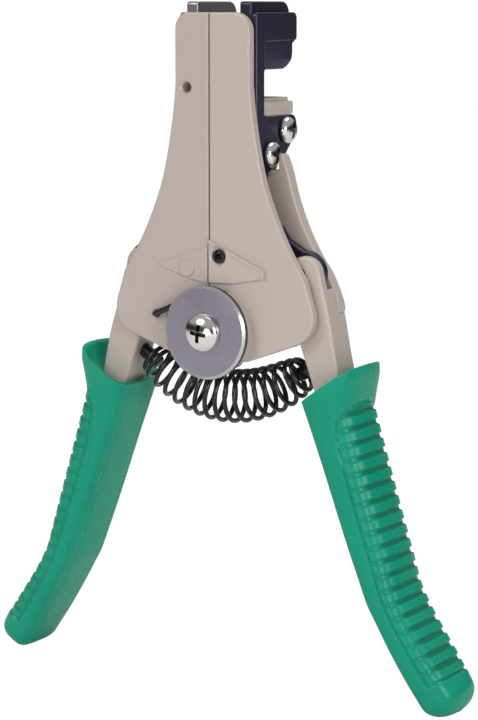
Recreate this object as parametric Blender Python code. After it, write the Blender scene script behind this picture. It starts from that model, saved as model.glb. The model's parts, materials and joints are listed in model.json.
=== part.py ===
"""Wire stripper: two spreading heads, sliding lower jaws, and sprung handles with soft grips.

Sizes are in millimetres, measured from the main pivot's axis where it meets the front plates'
front face: X to the right, Y to the back and Z up. MM turns them into metres. The model stands
on the grips' tips. Pieces are drawn for the right-hand side, and SIDES mirrors them to the left.
"""
import math

import bmesh
import bpy
from mathutils import Matrix, Vector

MM = 0.001
GAP = 0.3                     # clearance between pieces that touch
SEGMENTS = 28                 # sides of a round piece
SIDES = {"right": 1, "left": -1}

# Layers through the depth, front to back
PLATE_THICKNESS = 2.6
EAR_THICKNESS = 2.4
CAM_THICKNESS = 2.6
ARM_THICKNESS = 3.5
SHANK_DEPTH = 9.0
EAR_FRONT = PLATE_THICKNESS + GAP
CAM_FRONT = EAR_FRONT + EAR_THICKNESS + GAP
CAM_BACK = CAM_FRONT + CAM_THICKNESS
ARM_FRONT = CAM_BACK + GAP
ARM_BACK = ARM_FRONT + ARM_THICKNESS
SHANK_BACK = EAR_FRONT + SHANK_DEPTH
SHANK_MIDDLE = EAR_FRONT + SHANK_DEPTH / 2

# Tower and front plates
TOWER_TOP = 77.0
TOWER_HALF_WIDTH = 10.5
TOWER_CORNER = 3.2
SEAM_X = -0.9
WING_REACH = 29.9             # where the wing's flank and its lower edge would meet
WING_DROP = 0.3
WING_CORNER = 7.0
PIN_X = 22.4                  # wing pin, on which the handle turns
PIN_Z = 14.8

# Pivot stack
KNUCKLE_RADIUS = 8.3
SCREW_RADIUS = 2.5
BUSH_WALL = 1.2
BUSH_BORE = SCREW_RADIUS + GAP
BUSH_RADIUS = BUSH_BORE + BUSH_WALL
BUSH_FLANGE_RADIUS = 7.4
BUSH_FLANGE = 1.4
SPRING_ROOM = 2.0             # space for the torsion spring under the washer
WASHER_RADIUS = 11.5
WASHER_THICKNESS = 1.9
WASHER_CHAMFER = 0.7
SCREW_HEAD_RADIUS = 4.75
SCREW_HEAD_HEIGHT = 3.0
HEAD_CROWN = 0.55             # where a pan head's dome ends, as a share of its radius
HEAD_RIM = 0.35               # height of its straight rim, as a share of its height
REAR_WASHER_RADIUS = 7.5
REAR_WASHER_THICKNESS = 1.0
NUT_FLATS = 8.0
NUT_THICKNESS = 4.2
RIM_WALL = 0.9                # raised rim of the right plate around the torsion spring

# Torsion spring
TORSION_RADIUS = 9.3
TORSION_WIRE = 1.5
TORSION_LEG = 13.6
TORSION_REAR_LEG = 8.0
TORSION_LEG_ANGLE = 113.0     # where the front leg leaves the coil
TORSION_TURN = 406.0          # degrees between the two legs
TORSION_PASS = 40.0           # degrees over which the wire passes behind the plates

# Wing pin, roll pin and plain hole
WING_PIN_RADIUS = 1.8
WING_PIN_HEAD_RADIUS = 3.4
WING_PIN_HEAD = 1.2
WING_PIN_COVER = 0.9          # front plate left in front of the blind hole
ROLL_PIN = (2.0, 18.4)
ROLL_PIN_RADIUS = 1.65
ROLL_PIN_WALL = 0.55
PLAIN_HOLE = (7.4, 59.0)
PLAIN_HOLE_RADIUS = 1.3

# Hook plates: hook above, vertical bar, and the bracket that two screws hold
HOOK_OUTER = 10.9
HOOK_THICKNESS = 1.5
HOOK_TOP = 77.0
HOOK_STEP = 70.1              # the ground edge begins below this height
HOOK_EDGE = 63.3
HOOK_REACH = 22.4
EDGE_REACH = 20.5
BAR_BACK = 6.7
BRACKET_TOP = 52.2
BRACKET_LOW = 38.4
TAIL_BOTTOM = 31.0
TAIL_BACK = 8.4
HOOK_INNER = HOOK_OUTER - HOOK_THICKNESS
HOOK_FRONT = PLATE_THICKNESS + GAP

# Plate screws: depth and height of each, on the bracket
PLATE_SCREWS = {"lower": (9.2, 42.8), "upper": (16.8, 48.5)}
PLATE_SCREW_RADIUS = 1.5
PLATE_SCREW_HEAD_RADIUS = 3.25
PLATE_SCREW_HEAD_HEIGHT = 2.2
PLATE_SCREW_LENGTH = 8.4

# Upper blocks inside the hooks
BLOCK_THICKNESS = 3.2
BLOCK_TOP = 79.6
BLOCK_OUTER = HOOK_INNER - GAP
BLOCK_INNER = BLOCK_OUTER - BLOCK_THICKNESS

# Lower jaws
JAW_TOP = 56.4
JAW_HEIGHT = 4.0
JAW_INNER = 0.6
JAW_BACK = 21.2
JAW_LEDGE_DROP = 0.9
JAW_LEDGE_OUTER = HOOK_OUTER - 0.4
STEM_INNER = 1.2
STEM_OUTER = BLOCK_OUTER - GAP
STEM_DEPTH = 3.7
FOOT_OUTER = 5.4
FOOT_HEIGHT = 4.0
INSERT_THICKNESS = 1.8
INSERT_DEPTH = 2.4
INSERT_SETBACK = 1.4            # behind the hook's inner face
INSERT_INNER = HOOK_INNER - INSERT_SETBACK - INSERT_THICKNESS
JAW_BOTTOM = JAW_TOP - JAW_HEIGHT

# Rear arms
ARM_BOSS_RADIUS = 12.4
ARM_INNER = 1.2
MOUNT_BACK = 19.0
MOUNT_BOTTOM = 34.0

# Cam plates: the nose lifts the lower jaw's foot
JAW_TRAVEL = HOOK_EDGE - JAW_TOP - GAP
NOSE_ANGLE = 9.6              # nose below the wing pin at rest, and above it when closed
NOSE_RADIUS = 2.0
CAM_DISC_RADIUS = 5.5
CAM_SLOT_RADIUS = 7.5         # slot in the handle that the cam's disc sits in
DOWEL = (17.9, 13.4)          # keys the cam to the handle's ear
DOWEL_RADIUS = 1.1
DOWEL_COVER = 0.8
NOSE_ARM = JAW_TRAVEL / 2 / math.sin(math.radians(NOSE_ANGLE))
NOSE_X = PIN_X - NOSE_ARM * math.cos(math.radians(NOSE_ANGLE))
NOSE_Z = PIN_Z - NOSE_ARM * math.sin(math.radians(NOSE_ANGLE))
FOOT_BOTTOM = NOSE_Z + NOSE_RADIUS + GAP

# Handles: an ear on the wing pin, a shank, and a tang inside the grip
EAR_CENTRE = (23.8, 14.8)
EAR_RADIUS = 4.5
EAR_LOBE = 2.6                # around the dowel
NECK_WIDTH = 7.2
NECK_DROP = 1.5               # below the grip's start
NECK_SHIFT = 0.3              # neck stands inside the grip's centre line
TANG_WIDTH = 6.6
TANG_LENGTH = 44.0

# Grips: a straight run from the collar to a bend, then a run to the rounded tip
GRIP_START = (31.15, -13.8)
GRIP_LEAN = 18.9              # degrees from vertical
GRIP_STRAIGHT = 49.9
GRIP_FLARE = 31.6             # degrees from vertical below the bend
GRIP_TIP_RUN = 26.7
GRIP_INSIDE = {"top": 6.5, "bend": 5.2, "tip": 5.0}     # centre line to the inner side
GRIP_OUTSIDE = {"top": 6.2, "bend": 4.6, "tip": 5.3}    # centre line to the outer side
GRIP_WAIST = 0.7              # outer side thins further just below the bend
GRIP_DEPTH = 19.0
GRIP_CORNER = 0.34            # corner radius as a share of the width
GRIP_WALL = 2.0
COLLAR_RISE = 1.9             # rim above the grip's start
COLLAR_FLARE = 4.4            # the lip stands out on the outer side only
COLLAR_SPREAD = 3.0           # extra depth of the lip
COLLAR_TILT = 35.0            # degrees from horizontal
COLLAR_CUP = 3.2              # depth of the open cup

# Handle spring, a barrel spring in a sagging arc between two studs
SPRING_END = (21.7, -9.4)
SPRING_SAG = 7.6
SPRING_WIRE = 1.2
SPRING_END_RADIUS = 3.3
SPRING_MIDDLE_RADIUS = 6.2
SPRING_TURNS = 15.5
STUD_RADIUS = 1.8
STUD_LENGTH = 5.2             # length outside the shank
STUD_SINK = 2.2               # length inside the shank
STUD_CHAMFER = 0.4
STUD_FACE = 3.2               # from the spring's end to the shank's face

# Derived overall places
WASHER_BACK = -SPRING_ROOM
WASHER_FRONT = WASHER_BACK - WASHER_THICKNESS
HEAD_BACK = WASHER_FRONT - GAP
HEAD_FRONT = HEAD_BACK - SCREW_HEAD_HEIGHT
REAR_WASHER_FRONT = ARM_BACK + 2 * GAP
NUT_FRONT = REAR_WASHER_FRONT + REAR_WASHER_THICKNESS + GAP
NUT_BACK = NUT_FRONT + NUT_THICKNESS


def heading(degrees):
    """Unit step in the XZ plane that points down, leaning outwards by an angle."""
    angle = math.radians(degrees)
    return Vector((math.sin(angle), -math.cos(angle)))


def across(degrees):
    """Unit step square to a heading, outwards."""
    angle = math.radians(degrees)
    return Vector((math.cos(angle), math.sin(angle)))


GRIP_BEND = Vector(GRIP_START) + GRIP_STRAIGHT * heading(GRIP_LEAN)
GRIP_TIP_WIDTH = GRIP_INSIDE["tip"] + GRIP_OUTSIDE["tip"]
GRIP_TIP = (GRIP_BEND + GRIP_TIP_RUN * heading(GRIP_FLARE)
            + across(GRIP_FLARE) * (GRIP_OUTSIDE["tip"] - GRIP_INSIDE["tip"]) / 2)
PIVOT_HEIGHT = GRIP_TIP_WIDTH / 2 - GRIP_TIP.y
DEPTH_MIDDLE = (HEAD_FRONT + HOOK_REACH) / 2
ORIGIN = Vector((0.0, -DEPTH_MIDDLE, PIVOT_HEIGHT))


# Materials

def material(name, colour, roughness, metallic):
    """A Principled material with the piece's colour, roughness and metallic value."""
    made = bpy.data.materials.new(name)
    made.use_nodes = True
    shader = made.node_tree.nodes["Principled BSDF"]
    shader.inputs["Base Color"].default_value = (*colour, 1.0)
    shader.inputs["Roughness"].default_value = roughness
    shader.inputs["Metallic"].default_value = metallic
    return made


def make_materials():
    return {
        "paint": material("beige_paint", (0.48, 0.42, 0.37), 0.45, 0.0),
        "grip": material("green_grip", (0.02, 0.33, 0.19), 0.35, 0.0),
        "gunblue": material("gunblue_steel", (0.035, 0.033, 0.055), 0.35, 0.9),
        "nickel": material("bright_nickel", (0.72, 0.69, 0.66), 0.2, 1.0),
        "grey_nickel": material("grey_nickel", (0.25, 0.24, 0.25), 0.3, 1.0),
        "zinc": material("brushed_zinc", (0.5, 0.48, 0.55), 0.35, 1.0),
        "spring": material("black_spring", (0.02, 0.02, 0.02), 0.25, 0.6),
        "bronze": material("bush_bronze", (0.5, 0.33, 0.16), 0.4, 1.0),
    }


# Outlines

def arc(centre, radius, start, end, steps):
    """Points on an arc from one angle in degrees to another."""
    points = []
    for step in range(steps + 1):
        angle = math.radians(start + (end - start) * step / steps)
        points.append((centre[0] + radius * math.cos(angle), centre[1] + radius * math.sin(angle)))
    return points


def circle(centre, radius, steps=SEGMENTS):
    return arc(centre, radius, 0.0, 360.0 * (steps - 1) / steps, steps - 1)


def rounded(corners, step=15.0):
    """Closed outline through corners (a, b, radius), with each radius drawn as an arc."""
    outline = []
    for index, (a, b, radius) in enumerate(corners):
        here = Vector((a, b))
        if not radius:
            outline.append((a, b))
            continue
        back = (Vector(corners[index - 1][:2]) - here).normalized()
        ahead = (Vector(corners[(index + 1) % len(corners)][:2]) - here).normalized()
        half = back.angle(ahead) / 2
        centre = here + (back + ahead).normalized() * radius / math.sin(half)
        first = here + back * radius / math.tan(half) - centre
        last = here + ahead * radius / math.tan(half) - centre
        sweep = math.degrees(first.angle_signed(last)) * -1.0
        begin = math.degrees(math.atan2(first.y, first.x))
        outline += arc(centre, radius, begin, begin + sweep, max(2, round(abs(sweep) / step)))
    return outline


def flowing(points, steps=5):
    """Smooth curve through points, without its last one."""
    curve = []
    for index in range(len(points) - 1):
        before = Vector(points[max(index - 1, 0)])
        start, end = Vector(points[index]), Vector(points[index + 1])
        after = Vector(points[min(index + 2, len(points) - 1)])
        for step in range(steps):
            t = step / steps
            spread = (start * 2 + (end - before) * t
                      + (before * 2 - start * 5 + end * 4 - after) * t * t
                      + (start * 3 - before - end * 3 + after) * t ** 3)
            curve.append(tuple(spread / 2))
    return curve


# Solids, made as bmeshes in millimetres

def prism(outline, low, high, along="Y"):
    """Outline in XZ pushed along Y, or outline in YZ pushed along X."""
    bm = bmesh.new()
    if along == "Y":
        ring = [bm.verts.new((a, low, b)) for a, b in outline]
        push = Vector((0.0, high - low, 0.0))
    else:
        ring = [bm.verts.new((low, a, b)) for a, b in outline]
        push = Vector((high - low, 0.0, 0.0))
    base = bm.faces.new(ring)
    grown = bmesh.ops.extrude_face_region(bm, geom=[base])["geom"]
    moved = [item for item in grown if isinstance(item, bmesh.types.BMVert)]
    bmesh.ops.translate(bm, verts=moved, vec=push)
    bmesh.ops.recalc_face_normals(bm, faces=bm.faces[:])
    return bm


def turned(profile, centre=(0.0, 0.0), segments=SEGMENTS):
    """Closed profile of (radius, depth) turned about the depth axis through a centre (x, z)."""
    bm = bmesh.new()
    ring = [bm.verts.new((radius, depth, 0.0)) for radius, depth in profile]
    edges = [bm.edges.new((ring[i - 1], ring[i])) for i in range(len(ring))]
    bmesh.ops.spin(bm, geom=ring + edges, cent=(0, 0, 0), axis=(0, 1, 0), angle=math.tau,
                   steps=segments, use_merge=True, use_duplicate=False)
    bmesh.ops.remove_doubles(bm, verts=bm.verts[:], dist=0.0001)
    bmesh.ops.dissolve_degenerate(bm, edges=bm.edges[:], dist=0.0001)
    bmesh.ops.translate(bm, verts=bm.verts[:], vec=(centre[0], 0.0, centre[1]))
    bmesh.ops.recalc_face_normals(bm, faces=bm.faces[:])
    return bm


def tube(radius, bore, front, back, centre=(0.0, 0.0)):
    return turned([(bore, front), (radius, front), (radius, back), (bore, back)], centre)


def loft(sections):
    """Skin over closed sections of equal point count, with both ends capped."""
    bm = bmesh.new()
    rings = [[bm.verts.new(point) for point in section] for section in sections]
    for first, second in zip(rings, rings[1:]):
        for i in range(len(first)):
            bm.faces.new((first[i - 1], first[i], second[i], second[i - 1]))
    bm.faces.new(rings[0])
    bm.faces.new(rings[-1])
    bmesh.ops.recalc_face_normals(bm, faces=bm.faces[:])
    return bm


def wire(path, thickness, sides=6):
    """Round wire along a path of points."""
    sections = []
    normal = None
    for index, point in enumerate(path):
        ahead = path[min(index + 1, len(path) - 1)] - path[max(index - 1, 0)]
        ahead.normalize()
        if normal is None:
            normal = ahead.orthogonal().normalized()
        normal = (normal - ahead * normal.dot(ahead)).normalized()
        other = ahead.cross(normal)
        section = []
        for side in range(sides):
            angle = math.tau * side / sides
            offset = normal * math.cos(angle) + other * math.sin(angle)
            section.append(point + offset * thickness / 2)
        sections.append(section)
    return loft(sections)


# Objects

class Assembly:
    """Adds named objects, each under the empty that carries its moving body's axis."""

    def __init__(self):
        self.materials = make_materials()
        self.axes = {}

    def axis(self, name, place, parent=None):
        """Empty on a joint axis, at (x, z) from the pivot."""
        carrier = bpy.data.objects.new(name, None)
        carrier.empty_display_size = 5 * MM
        bpy.context.scene.collection.objects.link(carrier)
        world = (ORIGIN + Vector((place[0], 0.0, place[1]))) * MM
        carrier.location = world
        if parent:
            carrier.parent = self.axes[parent][0]
            carrier.location = world - self.axes[parent][1]
        self.axes[name] = (carrier, world)

    def add(self, name, bm, axis, finish=None, side=1):
        """Object from a bmesh in millimetres; a side of -1 mirrors it. No finish makes a cutter."""
        carrier, world = self.axes[axis]
        bmesh.ops.transform(bm, matrix=Matrix.Diagonal((side * MM, MM, MM, 1.0)), verts=bm.verts[:])
        bmesh.ops.translate(bm, verts=bm.verts[:], vec=ORIGIN * MM - world)
        bmesh.ops.recalc_face_normals(bm, faces=bm.faces[:])
        mesh = bpy.data.meshes.new(name)
        bm.to_mesh(mesh)
        bm.free()
        made = bpy.data.objects.new(name, mesh)
        bpy.context.scene.collection.objects.link(made)
        made.parent = carrier
        if finish:
            mesh.materials.append(self.materials[finish])
            mesh.shade_smooth()
            mesh.set_sharp_from_angle(angle=math.radians(35))
        else:
            made.hide_render = True
            made.display_type = "WIRE"
        return made

    def combine(self, target, bm, axis, operation, side=1):
        """Cut a shape from an object or join it on, with a Boolean modifier."""
        name = f"{target.name}_{operation.lower()}_{len(target.modifiers)}"
        tool = self.add(name, bm, axis, side=side)
        boolean = target.modifiers.new(operation.lower(), "BOOLEAN")
        boolean.operation = operation
        boolean.solver = "EXACT"
        boolean.object = tool


def bored(centre, radius, front, back, grow=GAP):
    """Cutter for a round hole that clears a pin by a gap."""
    return prism(circle(centre, radius + grow), front, back)


# Heads

def plate_outline(side):
    seam = side * SEAM_X + GAP / 2
    flank = flowing([(TOWER_HALF_WIDTH, 60.0), (TOWER_HALF_WIDTH + 0.7, 53.0),
                     (TOWER_HALF_WIDTH + 2.8, 41.0), (15.8, 32.5), (20.3, 22.5), (25.6, 13.8)])
    corner = rounded([(25.6, 13.8, 0), (WING_REACH, WING_DROP, WING_CORNER), (9.7, -7.0, 0)], 9.0)
    top = rounded([(seam, TOWER_TOP, 0.6), (TOWER_HALF_WIDTH, TOWER_TOP, TOWER_CORNER),
                   (TOWER_HALF_WIDTH, 60.0, 0), (seam, 60.0, 0)], 12.0)[:-2]
    return top + flank + corner + [(2.6, -KNUCKLE_RADIUS + 0.9), (seam, -4.0)]


def lapped(build, target, axis, side, front, back):
    """Half-lap knuckle about the pivot, in the front half on the right and the rear on the left."""
    middle = (front + back) / 2
    own = (front, middle - GAP / 2) if side > 0 else (middle + GAP / 2, back)
    other = (middle - GAP / 2, back + 1) if side > 0 else (front - 1, middle + GAP / 2)
    clear = prism(circle((0, 0), KNUCKLE_RADIUS + GAP), *other)
    build.combine(target, clear, axis, "DIFFERENCE", side)
    build.combine(target, prism(circle((0, 0), KNUCKLE_RADIUS), *own), axis, "UNION", side)
    hole = bored((0, 0), BUSH_RADIUS, front - 1, back + 1)
    build.combine(target, hole, axis, "DIFFERENCE", side)


def front_plate(build, hand, side):
    axis = f"{hand}_head_axis"
    outline = plate_outline(side)
    plate = build.add(f"front_plate_{hand}", prism(outline, 0.0, PLATE_THICKNESS), axis,
                      "paint", side)
    lapped(build, plate, axis, side, 0.0, PLATE_THICKNESS)
    blind = bored((PIN_X, PIN_Z), WING_PIN_RADIUS, WING_PIN_COVER, PLATE_THICKNESS + 1)
    build.combine(plate, blind, axis, "DIFFERENCE", side)
    if side > 0:
        rim_inner = TORSION_RADIUS + TORSION_WIRE / 2 + GAP
        rim = arc((0, 0), rim_inner + RIM_WALL, -48.0, 62.0, 14)
        rim += arc((0, 0), rim_inner, 62.0, -48.0, 14)
        build.combine(plate, prism(rim, WASHER_BACK + GAP, 0.4), axis, "UNION", side)
        wedge = rounded([(0.3, 21.6, 0.5), (14.7, 15.4, 0.7), (14.7, 13.6, 0.7), (5.6, 11.9, 0.6),
                         (0.3, 12.6, 0.6)], 30.0)
        build.combine(plate, prism(wedge, -0.5, 0.4), axis, "UNION", side)
        pin = bored(ROLL_PIN, ROLL_PIN_RADIUS, -2.0, PLATE_THICKNESS + 1)
        build.combine(plate, pin, axis, "DIFFERENCE", side)
    else:
        wedge = rounded([(4.0, 20.4, 0.6), (15.0, 15.6, 0.4), (15.0, 15.0, 0.4), (3.4, 12.4, 0.6)],
                        30.0)
        build.combine(plate, prism(wedge, -0.35, 0.4), axis, "UNION", side)
        boss = prism(circle((6.9, 15.1), 2.2), -0.75, 0.5)
        build.combine(plate, boss, axis, "UNION", side)
        plain = bored(PLAIN_HOLE, PLAIN_HOLE_RADIUS, -1.0, PLATE_THICKNESS + 1, 0.0)
        build.combine(plate, plain, axis, "DIFFERENCE", side)
        tip = leg_tip()
        hook = bored((-tip.x, tip.z), TORSION_WIRE / 2, -1.0, PLATE_THICKNESS + 1)
        build.combine(plate, hook, axis, "DIFFERENCE", side)


def arm_outline():
    under = BRACKET_LOW - 2 * GAP
    under_screw = PLATE_SCREWS["lower"][1] - PLATE_SCREW_HEAD_RADIUS - GAP
    clear = HOOK_OUTER + GAP
    beside = clear + PLATE_SCREW_HEAD_HEIGHT + GAP
    top = [(ARM_INNER, under), (clear, under), (clear, under_screw), (beside, under_screw),
           (beside, 42.6), (beside + 0.5, 43.2)]
    flank = flowing([(beside + 1.2, 42.6), (16.2, 39.2), (18.1, 32.5), (20.9, 25.5), (24.5, 18.9),
                     (27.1, 15.2), (29.1, 11.4), (30.4, 8.0)], 4)
    boss = arc((PIN_X, PIN_Z), ARM_BOSS_RADIUS, -46.0, -135.0, 12)
    return top + flank + boss + [(5.0, -6.2), (ARM_INNER, -6.0)]


def rear_arm(build, hand, side):
    axis = f"{hand}_head_axis"
    arm = build.add(f"rear_arm_{hand}", prism(arm_outline(), ARM_FRONT, ARM_BACK), axis,
                    "paint", side)
    lapped(build, arm, axis, side, ARM_FRONT, ARM_BACK)
    block_top = JAW_BOTTOM - 2 * GAP
    block = rounded([(ARM_FRONT, MOUNT_BOTTOM, 0), (ARM_FRONT, block_top, 0),
                     (MOUNT_BACK, block_top, 1.5), (MOUNT_BACK, 46.0, 3.0),
                     (ARM_BACK + 0.5, MOUNT_BOTTOM, 0)])
    mount = prism(block, ARM_INNER, BLOCK_OUTER, "X")
    build.combine(arm, mount, axis, "UNION", side)
    pin = bored((PIN_X, PIN_Z), WING_PIN_RADIUS, ARM_FRONT - 1, ARM_BACK + 1)
    build.combine(arm, pin, axis, "DIFFERENCE", side)
    for place in PLATE_SCREWS.values():
        hole = prism(circle(place, PLATE_SCREW_RADIUS + GAP, 16), BLOCK_INNER - 5.0,
                     BLOCK_OUTER + 1, "X")
        build.combine(arm, hole, axis, "DIFFERENCE", side)


def hook_plate(build, hand, side):
    """Hook with its ground edge, vertical bar and screwed bracket, all from one plate."""
    axis = f"{hand}_head_axis"
    low_y, low_z = PLATE_SCREWS["lower"]
    outline = rounded([
        (HOOK_FRONT, TAIL_BOTTOM, 0.5), (HOOK_FRONT, HOOK_TOP, 1.0), (HOOK_REACH, HOOK_TOP, 1.6),
        (HOOK_REACH, HOOK_STEP + 0.4, 1.2), (EDGE_REACH, HOOK_STEP - 0.6, 0),
        (EDGE_REACH, HOOK_EDGE, 4.2), (BAR_BACK, HOOK_EDGE, 0.6), (BAR_BACK, BRACKET_TOP, 0.6),
        (HOOK_REACH, BRACKET_TOP, 2.4), (HOOK_REACH, 47.6, 1.0), (17.0, 42.6, 1.0),
        (low_y + 3.4, low_z - 3.6, 1.0), (TAIL_BACK, BRACKET_LOW, 1.0),
        (TAIL_BACK, TAIL_BOTTOM, 1.2)], 18.0)
    name, finish = ("blade_plate_right", "gunblue") if side > 0 else ("grip_plate_left",
                                                                        "grey_nickel")
    plate = build.add(name, prism(outline, HOOK_INNER, HOOK_OUTER, "X"), axis, finish, side)
    for place in PLATE_SCREWS.values():
        hole = prism(circle(place, PLATE_SCREW_RADIUS + GAP, 16), HOOK_INNER - 1, HOOK_OUTER + 1,
                     "X")
        build.combine(plate, hole, axis, "DIFFERENCE", side)


def upper_block(build, hand, side):
    axis = f"{hand}_head_axis"
    outline = rounded([
        (HOOK_FRONT + 0.4, HOOK_EDGE, 0), (HOOK_FRONT + 0.4, BLOCK_TOP, 0.8),
        (HOOK_REACH - 0.6, BLOCK_TOP, 3.2), (HOOK_REACH - 0.6, HOOK_STEP + 2.0, 1.0),
        (EDGE_REACH, HOOK_STEP, 0.6), (EDGE_REACH, HOOK_EDGE, 3.4)], 15.0)
    build.add(f"upper_block_{hand}", prism(outline, BLOCK_INNER, BLOCK_OUTER, "X"), axis,
              "gunblue" if side > 0 else "grey_nickel", side)


def pan_head(radius, height, under, steps=5):
    """Half profile of a domed screw head from its rim to the centre, growing towards -Y."""
    profile = [(radius, under)]
    for step in range(steps + 1):
        angle = math.radians(90.0 * step / steps)
        profile.append((radius * (HEAD_CROWN + (1 - HEAD_CROWN) * math.cos(angle)),
                        under - height * (HEAD_RIM + (1 - HEAD_RIM) * math.sin(angle))))
    return profile


def cross_recess(radius, front, depth):
    """Cutters for a cross recess: two bars that cross at the head's centre."""
    half, width = radius * 0.5, radius * 0.12
    plus = [(half, -width), (half, width), (width, width), (width, half), (-width, half),
            (-width, width), (-half, width), (-half, -width), (-width, -width), (-width, -half),
            (width, -half), (width, -width)]
    return prism(plus, front - 1, front + depth)


def plate_screws(build, hand, side):
    axis = f"{hand}_head_axis"
    for label, (depth, height) in PLATE_SCREWS.items():
        under = -GAP
        head = pan_head(PLATE_SCREW_HEAD_RADIUS, PLATE_SCREW_HEAD_HEIGHT, under)
        reach = PLATE_SCREW_LENGTH
        profile = head + [(0.0, under - PLATE_SCREW_HEAD_HEIGHT), (0.0, reach),
                          (PLATE_SCREW_RADIUS - 0.4, reach), (PLATE_SCREW_RADIUS, reach - 0.6),
                          (PLATE_SCREW_RADIUS, under)]
        turn = Matrix.Translation((HOOK_OUTER, depth, height)) @ Matrix.Rotation(
            math.radians(90), 4, "Z")
        body = turned(profile, segments=20)
        bmesh.ops.transform(body, matrix=turn, verts=body.verts[:])
        screw = build.add(f"plate_screw_{hand}_{label}", body, axis, "nickel", side)
        recess = cross_recess(PLATE_SCREW_HEAD_RADIUS, under - PLATE_SCREW_HEAD_HEIGHT, 1.0)
        bmesh.ops.transform(recess, matrix=turn, verts=recess.verts[:])
        build.combine(screw, recess, axis, "DIFFERENCE", side)


def wing_pin(build, hand, side):
    under = ARM_BACK + GAP
    profile = [(0.0, WING_PIN_COVER + GAP), (WING_PIN_RADIUS, WING_PIN_COVER + GAP),
               (WING_PIN_RADIUS, under), (WING_PIN_HEAD_RADIUS, under),
               (WING_PIN_HEAD_RADIUS - 0.5, under + WING_PIN_HEAD), (0.0, under + WING_PIN_HEAD)]
    build.add(f"wing_pin_{hand}", turned(profile, (PIN_X, PIN_Z)), f"{hand}_head_axis", "nickel",
              side)


def roll_pin(build):
    """Rolled pin with a slit, pressed into the right plate."""
    outer = arc(ROLL_PIN, ROLL_PIN_RADIUS, 130.0, 460.0, 20)
    inner = arc(ROLL_PIN, ROLL_PIN_RADIUS - ROLL_PIN_WALL, 460.0, 130.0, 20)
    build.add("roll_pin", prism(outer + inner, -GAP, PLATE_THICKNESS), "right_head_axis",
              "spring", 1)


# Lower jaws

def lower_jaw(build, hand, side):
    axis = f"{hand}_jaw_axis"
    front = PLATE_THICKNESS + GAP
    inner = STEM_INNER
    stem = [(inner, FOOT_BOTTOM), (FOOT_OUTER, FOOT_BOTTOM), (FOOT_OUTER, 26.0),
            (STEM_OUTER, 31.0), (STEM_OUTER, JAW_TOP - 1.0), (inner, JAW_TOP - 1.0)]
    jaw = build.add(f"lower_jaw_{hand}", prism(stem, front, front + STEM_DEPTH), axis, "paint",
                    side)
    foot = prism([(inner, FOOT_BOTTOM), (FOOT_OUTER, FOOT_BOTTOM),
                  (FOOT_OUTER, FOOT_BOTTOM + FOOT_HEIGHT), (inner, FOOT_BOTTOM + FOOT_HEIGHT)],
                 front + 1.0, CAM_BACK)
    build.combine(jaw, foot, axis, "UNION", side)
    top = prism([(front, JAW_BOTTOM), (front, JAW_TOP), (JAW_BACK, JAW_TOP),
                 (JAW_BACK, JAW_BOTTOM)], JAW_INNER, BLOCK_OUTER, "X")
    build.combine(jaw, top, axis, "UNION", side)
    ledge_front = BAR_BACK + GAP
    ledge = prism([(ledge_front, BRACKET_TOP + 2 * GAP), (ledge_front, JAW_TOP - JAW_LEDGE_DROP),
                   (JAW_BACK, JAW_TOP - JAW_LEDGE_DROP), (JAW_BACK, BRACKET_TOP + 2 * GAP)],
                  BLOCK_OUTER - 1.0, JAW_LEDGE_OUTER, "X")
    build.combine(jaw, ledge, axis, "UNION", side)
    slot = prism([(front - 1, JAW_TOP - INSERT_DEPTH - GAP), (front - 1, JAW_TOP + 1),
                  (JAW_BACK + 1, JAW_TOP + 1), (JAW_BACK + 1, JAW_TOP - INSERT_DEPTH - GAP)],
                 INSERT_INNER - GAP, INSERT_INNER + INSERT_THICKNESS + GAP, "X")
    build.combine(jaw, slot, axis, "DIFFERENCE", side)


def jaw_insert(build, hand, side):
    """Blade with wire notches on the right, and a toothed gripping strip on the left."""
    front = PLATE_THICKNESS + 2 * GAP
    back = JAW_BACK - GAP
    floor = JAW_TOP - INSERT_DEPTH
    edge = [(back, floor), (front, floor), (front, JAW_TOP)]
    if side > 0:
        for number in range(5):
            centre = front + 2.6 + number * 3.2
            edge += arc((centre, JAW_TOP), 0.5 + 0.15 * number, 180.0, 360.0, 4)
    else:
        teeth = 12
        pitch = (back - front) / teeth
        for number in range(teeth):
            edge += [(front + (number + 0.5) * pitch, JAW_TOP - 0.6),
                     (front + (number + 1) * pitch, JAW_TOP)]
        edge.pop()
    edge.append((back, JAW_TOP))
    name = "lower_blade_right" if side > 0 else "grip_insert_left"
    build.add(name, prism(edge, INSERT_INNER, INSERT_INNER + INSERT_THICKNESS, "X"),
              f"{hand}_jaw_axis", "nickel", side)


# Handles

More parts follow.
